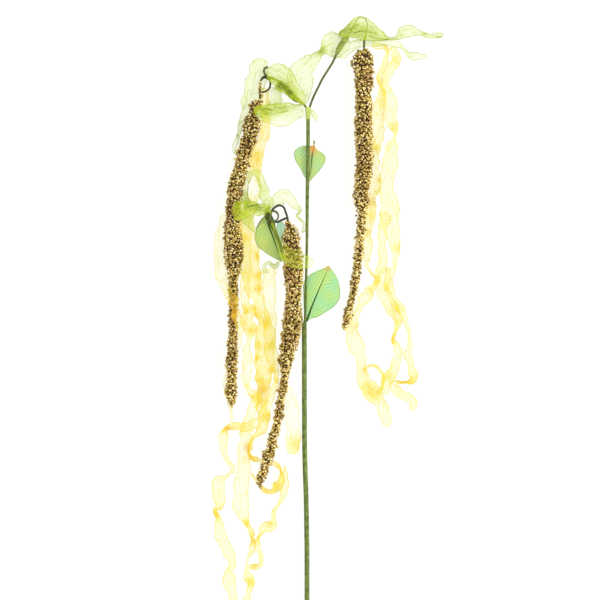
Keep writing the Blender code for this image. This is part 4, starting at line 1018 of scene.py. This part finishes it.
def sheer_cloth_group():
    """How much sheer cloth hides, with its fold lines, its threads and its coloured edge.

    Across and Along are centimetres on the cloth, and Edge is millimetres from its edge. Layers is
    how many layers lie together, Facing is 0 seen square on and 1 edge on, Sheer is the share that
    one layer lets through, and Hem is how many layers the edge adds at most.
    """
    group, given, result = new_group(
        "sheer cloth", ["Across", "Along", "Edge", "Layers", "Facing", "Sheer", "Hem"],
        ["Cover", "Height", "Selvage"])
    across, along, edge, layers, facing, sheer, hem = given
    selvage = (1.0 - edge / SELVAGE_WIDTH).at_least(0.0)
    wide_folds = fold_lines(across, along, tightness=2.2, drift=0.3, sharpness=36.0)
    fine_folds = fold_lines(across, along, tightness=6.0, drift=0.6, sharpness=16.0)
    folds = (wide_folds * 1.5 + fine_folds * 0.6) * (layers * 0.7 + 0.3)
    streaks = noise_at(vector(across * 9.0, along), 1.0)
    mottle = noise_at(vector(across, along), 5.5, 0.0)
    density = (streaks * 1.2 + mottle * 1.4 - 0.3).at_least(0.3)
    depth = layers * density + folds + selvage * (layers * 5.0 + 0.5).at_most(hem)
    fill(result, Cover=1.0 - sheer ** (depth / (1.06 - facing)), Selvage=selvage,
         Height=(across * THREADS).maths("SINE") + (along * THREADS).maths("SINE"))
    return group


def wound_tape_group():
    """Paper tape wound in a spiral: its tone, and its height with a step at each turn's edge."""
    group, (around, along, turns), result = new_group(
        "wound tape", ["Around", "Along", "Turns"], ["Tone", "Height"])
    wound = (around + along * turns).maths("FRACT")
    crimps = noise_at(vector(around * 3.0, along * 6.0), 2.0, 3.0)
    patches = noise_at(vector(around * 3.0, along), 1.4, 1.0)
    seam = wound < 0.13
    fill(result, Tone=crimps * 0.5 + patches * 0.55 - seam * 0.06, Height=wound + crimps * 0.6)
    return group


def organza(name, group):
    """Sheer cloth in four tones by its layers, with a coloured edge, small flecks and a painted
    glow.
    """
    painted_glow, hem, tones, line, fleck, toasted = ORGANZAS[name]
    material, tree, shader = new_material(name, Roughness=0.55, Specular_IOR_Level=0.2)
    across, along = uv_parts(tree)
    cloth = use_group(
        tree, group, Across=across, Along=along, Edge=attribute(tree, "from_edge"),
        Layers=attribute(tree, "layers"), Facing=add_node(tree, "ShaderNodeLayerWeight", "Facing"),
        Sheer=ONE_LAYER_LETS_THROUGH, Hem=hem)
    colour = cloth["Cover"].ramp(*zip(COVERS_OF_TONES, map(linear, tones)))
    colour = colour.towards(linear(line), cloth["Selvage"] * 0.6)
    colour = colour.towards(linear(toasted), attribute(tree, "amber"))
    from_dot = add_node(tree, "ShaderNodeTexVoronoi", "Distance",
                        Vector=object_place(tree), Scale=330.0)
    flecks = (from_dot < 0.15) * (noise_over(tree, 60.0) > 0.55)
    # Part of the colour is a painted glow, standing in for light that comes through the cloth
    paint_glow(shader, colour.towards(linear(fleck), flecks), painted_glow)
    fill(shader, Alpha=cloth["Cover"].at_least(flecks * 0.7))
    bump(shader, cloth["Height"], 0.03, 0.4)
    return material


def paper(name, group):
    """Crimped paper tape, wound round a wire."""
    dark, light, turns = PAPERS[name]
    material, tree, shader = new_material(name, Roughness=0.62, Specular_IOR_Level=0.25)
    around, along = uv_parts(tree)
    wound = use_group(tree, group, Around=around, Along=along, Turns=turns)
    fill(shader, Base_Color=wound["Tone"].ramp((0.32, linear(dark)), (0.7, linear(light))))
    bump(shader, wound["Height"], 0.22, 0.7)
    return material


def bead_gloss():
    """Metallic olive gold, different from bead to bead."""
    material, tree, shader = new_material(
        "bead_gloss", Metallic=0.6, Coat_Weight=0.35, Coat_Roughness=0.12)
    tone = attribute(tree, "tone") * 0.75 + noise_over(tree, 90.0) * 0.3
    worn = (noise_over(tree, 45.0, 1.0) - 0.5).at_least(0.0) * 2.6
    colour = tone.ramp(*((place, linear(colour)) for place, colour in BEAD_COLOURS))
    fill(shader, Base_Color=colour.towards(linear(COPPER), worn),
         Roughness=noise_over(tree, 900.0) * 0.25 + 0.2)
    return material


def leaf_cloth(tint):
    """Stiff pale cloth with a dark midrib that thins out, fine side ribs with painted shade in
    their hollows and a painted highlight on their tops, and a scorched patch. Part of its colour
    is a painted glow.

    On the olive leaf, just the rim is scorched.
    """
    painted_glow, body, cool, hollow_shade, midrib, scorched = LEAF_COLOURS[tint]
    material, tree, shader = new_material("leaf_" + tint, Roughness=0.45, Specular_IOR_Level=0.25)
    side_rib = attribute(tree, "rib")
    from_rim = attribute(tree, "from_rim")
    colour = noise_over(tree, 70.0).ramp((0.38, linear(body)), (0.62, linear(cool)))
    # Painted shade in the hollows between the side ribs
    colour = colour.towards(linear(hollow_shade), (1.0 - side_rib) ** 2.0 * 0.6)
    # Painted highlight on the tops of the side ribs
    colour = colour.towards(linear(RIB_TOP_HIGHLIGHT), side_rib ** 4.0 * 0.45)
    colour = colour.towards(linear(RIM_COLOUR), (from_rim < 0.8) * 0.55)
    midrib_width = 1.2 - attribute(tree, "along") * 1.1
    colour = colour.towards(linear(midrib), attribute(tree, "from_rib") < midrib_width)
    scorch = attribute(tree, "scorch") * 0.9
    if tint == "olive":
        scorch = scorch * (from_rim < 1.3)
    # Part of the colour is a painted glow, standing in for light that comes through the cloth
    paint_glow(shader, colour.towards(linear(scorched), scorch), painted_glow)
    bump(shader, side_rib, 0.12, 0.6)
    return material


def speckled(name, scale, dark, light, **values):
    """Plain stuff that changes a little between two colours."""
    material, tree, shader = new_material(name, **values)
    fill(shader, Base_Color=noise_over(tree, scale).ramp((0.3, dark), (0.7, light)))
    return material


# Camera, floor and lights

def add_camera():
    data = bpy.data.cameras.new("camera")
    data.sensor_width = SENSOR_WIDTH
    data.lens = SENSOR_WIDTH * CAMERA_HEIGHT / VIEW_WIDTH
    camera = bpy.data.objects.new("camera", data)
    camera.location = spot(VIEW_RIGHT, VIEW_DOWN, CAMERA_HEIGHT)
    bpy.context.scene.collection.objects.link(camera)
    bpy.context.scene.camera = camera


def add_floor():
    """Floor that is lit from below like a light table, so that no shadow falls on it."""
    bpy.ops.object.select_all(action="DESELECT")
    bpy.ops.mesh.primitive_plane_add(size=FLOOR_SIZE, location=(0, 0, 0))
    floor = newly_added("floor")
    floor.data.materials.append(speckled(
        "floor_paper", 40.0, linear((122, 122, 119)), linear((128, 128, 125)),
        Roughness=0.95, Specular_IOR_Level=0.1,
        Emission_Color=(1.0, 1.0, 0.95, 1.0), Emission_Strength=FLOOR_GLOW))


def add_light(name, place, size, power):
    """Square light that faces the spray."""
    data = bpy.data.lights.new(name, "AREA")
    data.size = size
    data.energy = power
    light = bpy.data.objects.new(name, data)
    light.location = place
    light.rotation_euler = Vector(place).to_track_quat("Z", "Y").to_euler()
    bpy.context.scene.collection.objects.link(light)


def add_world():
    world = bpy.data.worlds.new("studio")
    world.use_nodes = True
    backdrop = world.node_tree.nodes["Background"]
    fill(backdrop, Color=(1.0, 1.0, 0.985, 1.0), Strength=WORLD_STRENGTH)
    bpy.context.scene.world = world
    bpy.context.scene.view_settings.view_transform = "Standard"


# The spray

def dress_tube(name, route, material, slot, *nodes):
    finish_piece(make_tube(name, route), material, slot, *nodes)


def dress_stem(papers):
    lower = make_tube("stem_tape_lower", with_radius(LOWER_STEM, STEM_RADIUS), OPEN_END_DEPTH)
    finish_piece(lower, papers["stem_paper"], "stem_tape", "stem_lower")
    dress_tube("stem_tape_upper", UPPER_STEM, papers["stem_paper"], "stem_tape", "stem_upper")
    for side, (route, wrap) in BRANCHES.items():
        dress_tube("branch_tape_" + side, with_radius(route, BRANCH_RADIUS),
                   papers["branch_paper"], "stem_tape", "branch_" + side)
        dress_tube("binding_wrap_" + side, wrap,
                   papers["binding_paper_" + side], "binding_tape", "binding_" + side)


def dress_drops(hook_paper):
    gloss = bead_gloss()
    cord = speckled("bead_cord", 500.0, linear((54, 34, 12)), linear((98, 72, 32)), Roughness=0.9)
    for index, (side, stations) in enumerate(DROPS.items()):
        beads = make_beads("beads_" + side, bead_centres(stations, 100 + index), 200 + index)
        finish_piece(beads, gloss, "beads", "drop_" + side)
        core = [(*place, max(THINNEST_CORD, radius - CORD_DEPTH)) for *place, radius in stations]
        dress_tube("bead_cord_" + side, core, cord, "beads")
    for side, (radius, route) in HOOKS.items():
        dress_tube("hook_wire_" + side, with_radius(route, radius), hook_paper, "green_wire",
                   "hook_" + side)


def dress_leaves():
    for name, (tint, scorched, stations) in LEAVES.items():
        leaf = make_leaf(name + "_cloth", stations, scorched)
        finish_piece(leaf, leaf_cloth(tint), "leaf_fabric", name)


def dress_ribbons(ribbons, cloth, slot, bunches):
    for index, (name, (base, ruffle, stations)) in enumerate(ribbons.items()):
        stations = [laid(*station) for station in stations]
        piece, width, length, area = make_ribbon(
            name + "_cloth", stations, base, ruffle, index, bunches)
        finish_piece(piece, cloth, slot, name)
        declare_sheet(width, length, area)


def dress_fork(cloth):
    """Cloth is wound once round the stem where the branches leave it."""
    sleeve = make_tube("fork_sleeve_cloth", FORK_SLEEVE)
    corners = len(sleeve.data.vertices)
    set_marks(sleeve, layers=[SLEEVE_LAYERS] * corners, amber=[SLEEVE_PALENESS] * corners,
              from_edge=[SLEEVE_FROM_EDGE] * corners)
    finish_piece(sleeve, cloth, "green_organza", "fork_sleeve")


def paint_wires():
    """The wires inside the stem keep their CAD shapes, and get drawn steel."""
    light = linear((150, 150, 146))
    dark = (*(0.7 * value for value in light[:3]), 1.0)
    steel = speckled("drawn_steel", 700.0, dark, light, Metallic=1.0, Roughness=0.35)
    for side in BRANCHES:
        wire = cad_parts["wire_" + side]
        wire.data.materials.clear()
        wire.data.materials.append(steel)


def main():
    add_camera()
    wound = wound_tape_group()
    papers = {name: paper(name, wound) for name in PAPERS}
    dress_stem(papers)
    dress_drops(papers["hook_paper"])
    dress_leaves()
    sheer = sheer_cloth_group()
    green, yellow = (organza(name, sheer) for name in ORGANZAS)
    dress_ribbons(GREEN_RIBBONS, green, "green_organza", GREEN_BUNCHES)
    dress_ribbons(YELLOW_STREAMERS, yellow, "yellow_organza", YELLOW_BUNCHES)
    dress_fork(green)
    paint_wires()
    add_floor()
    add_world()
    for light in LIGHTS:
        add_light(*light)


main()
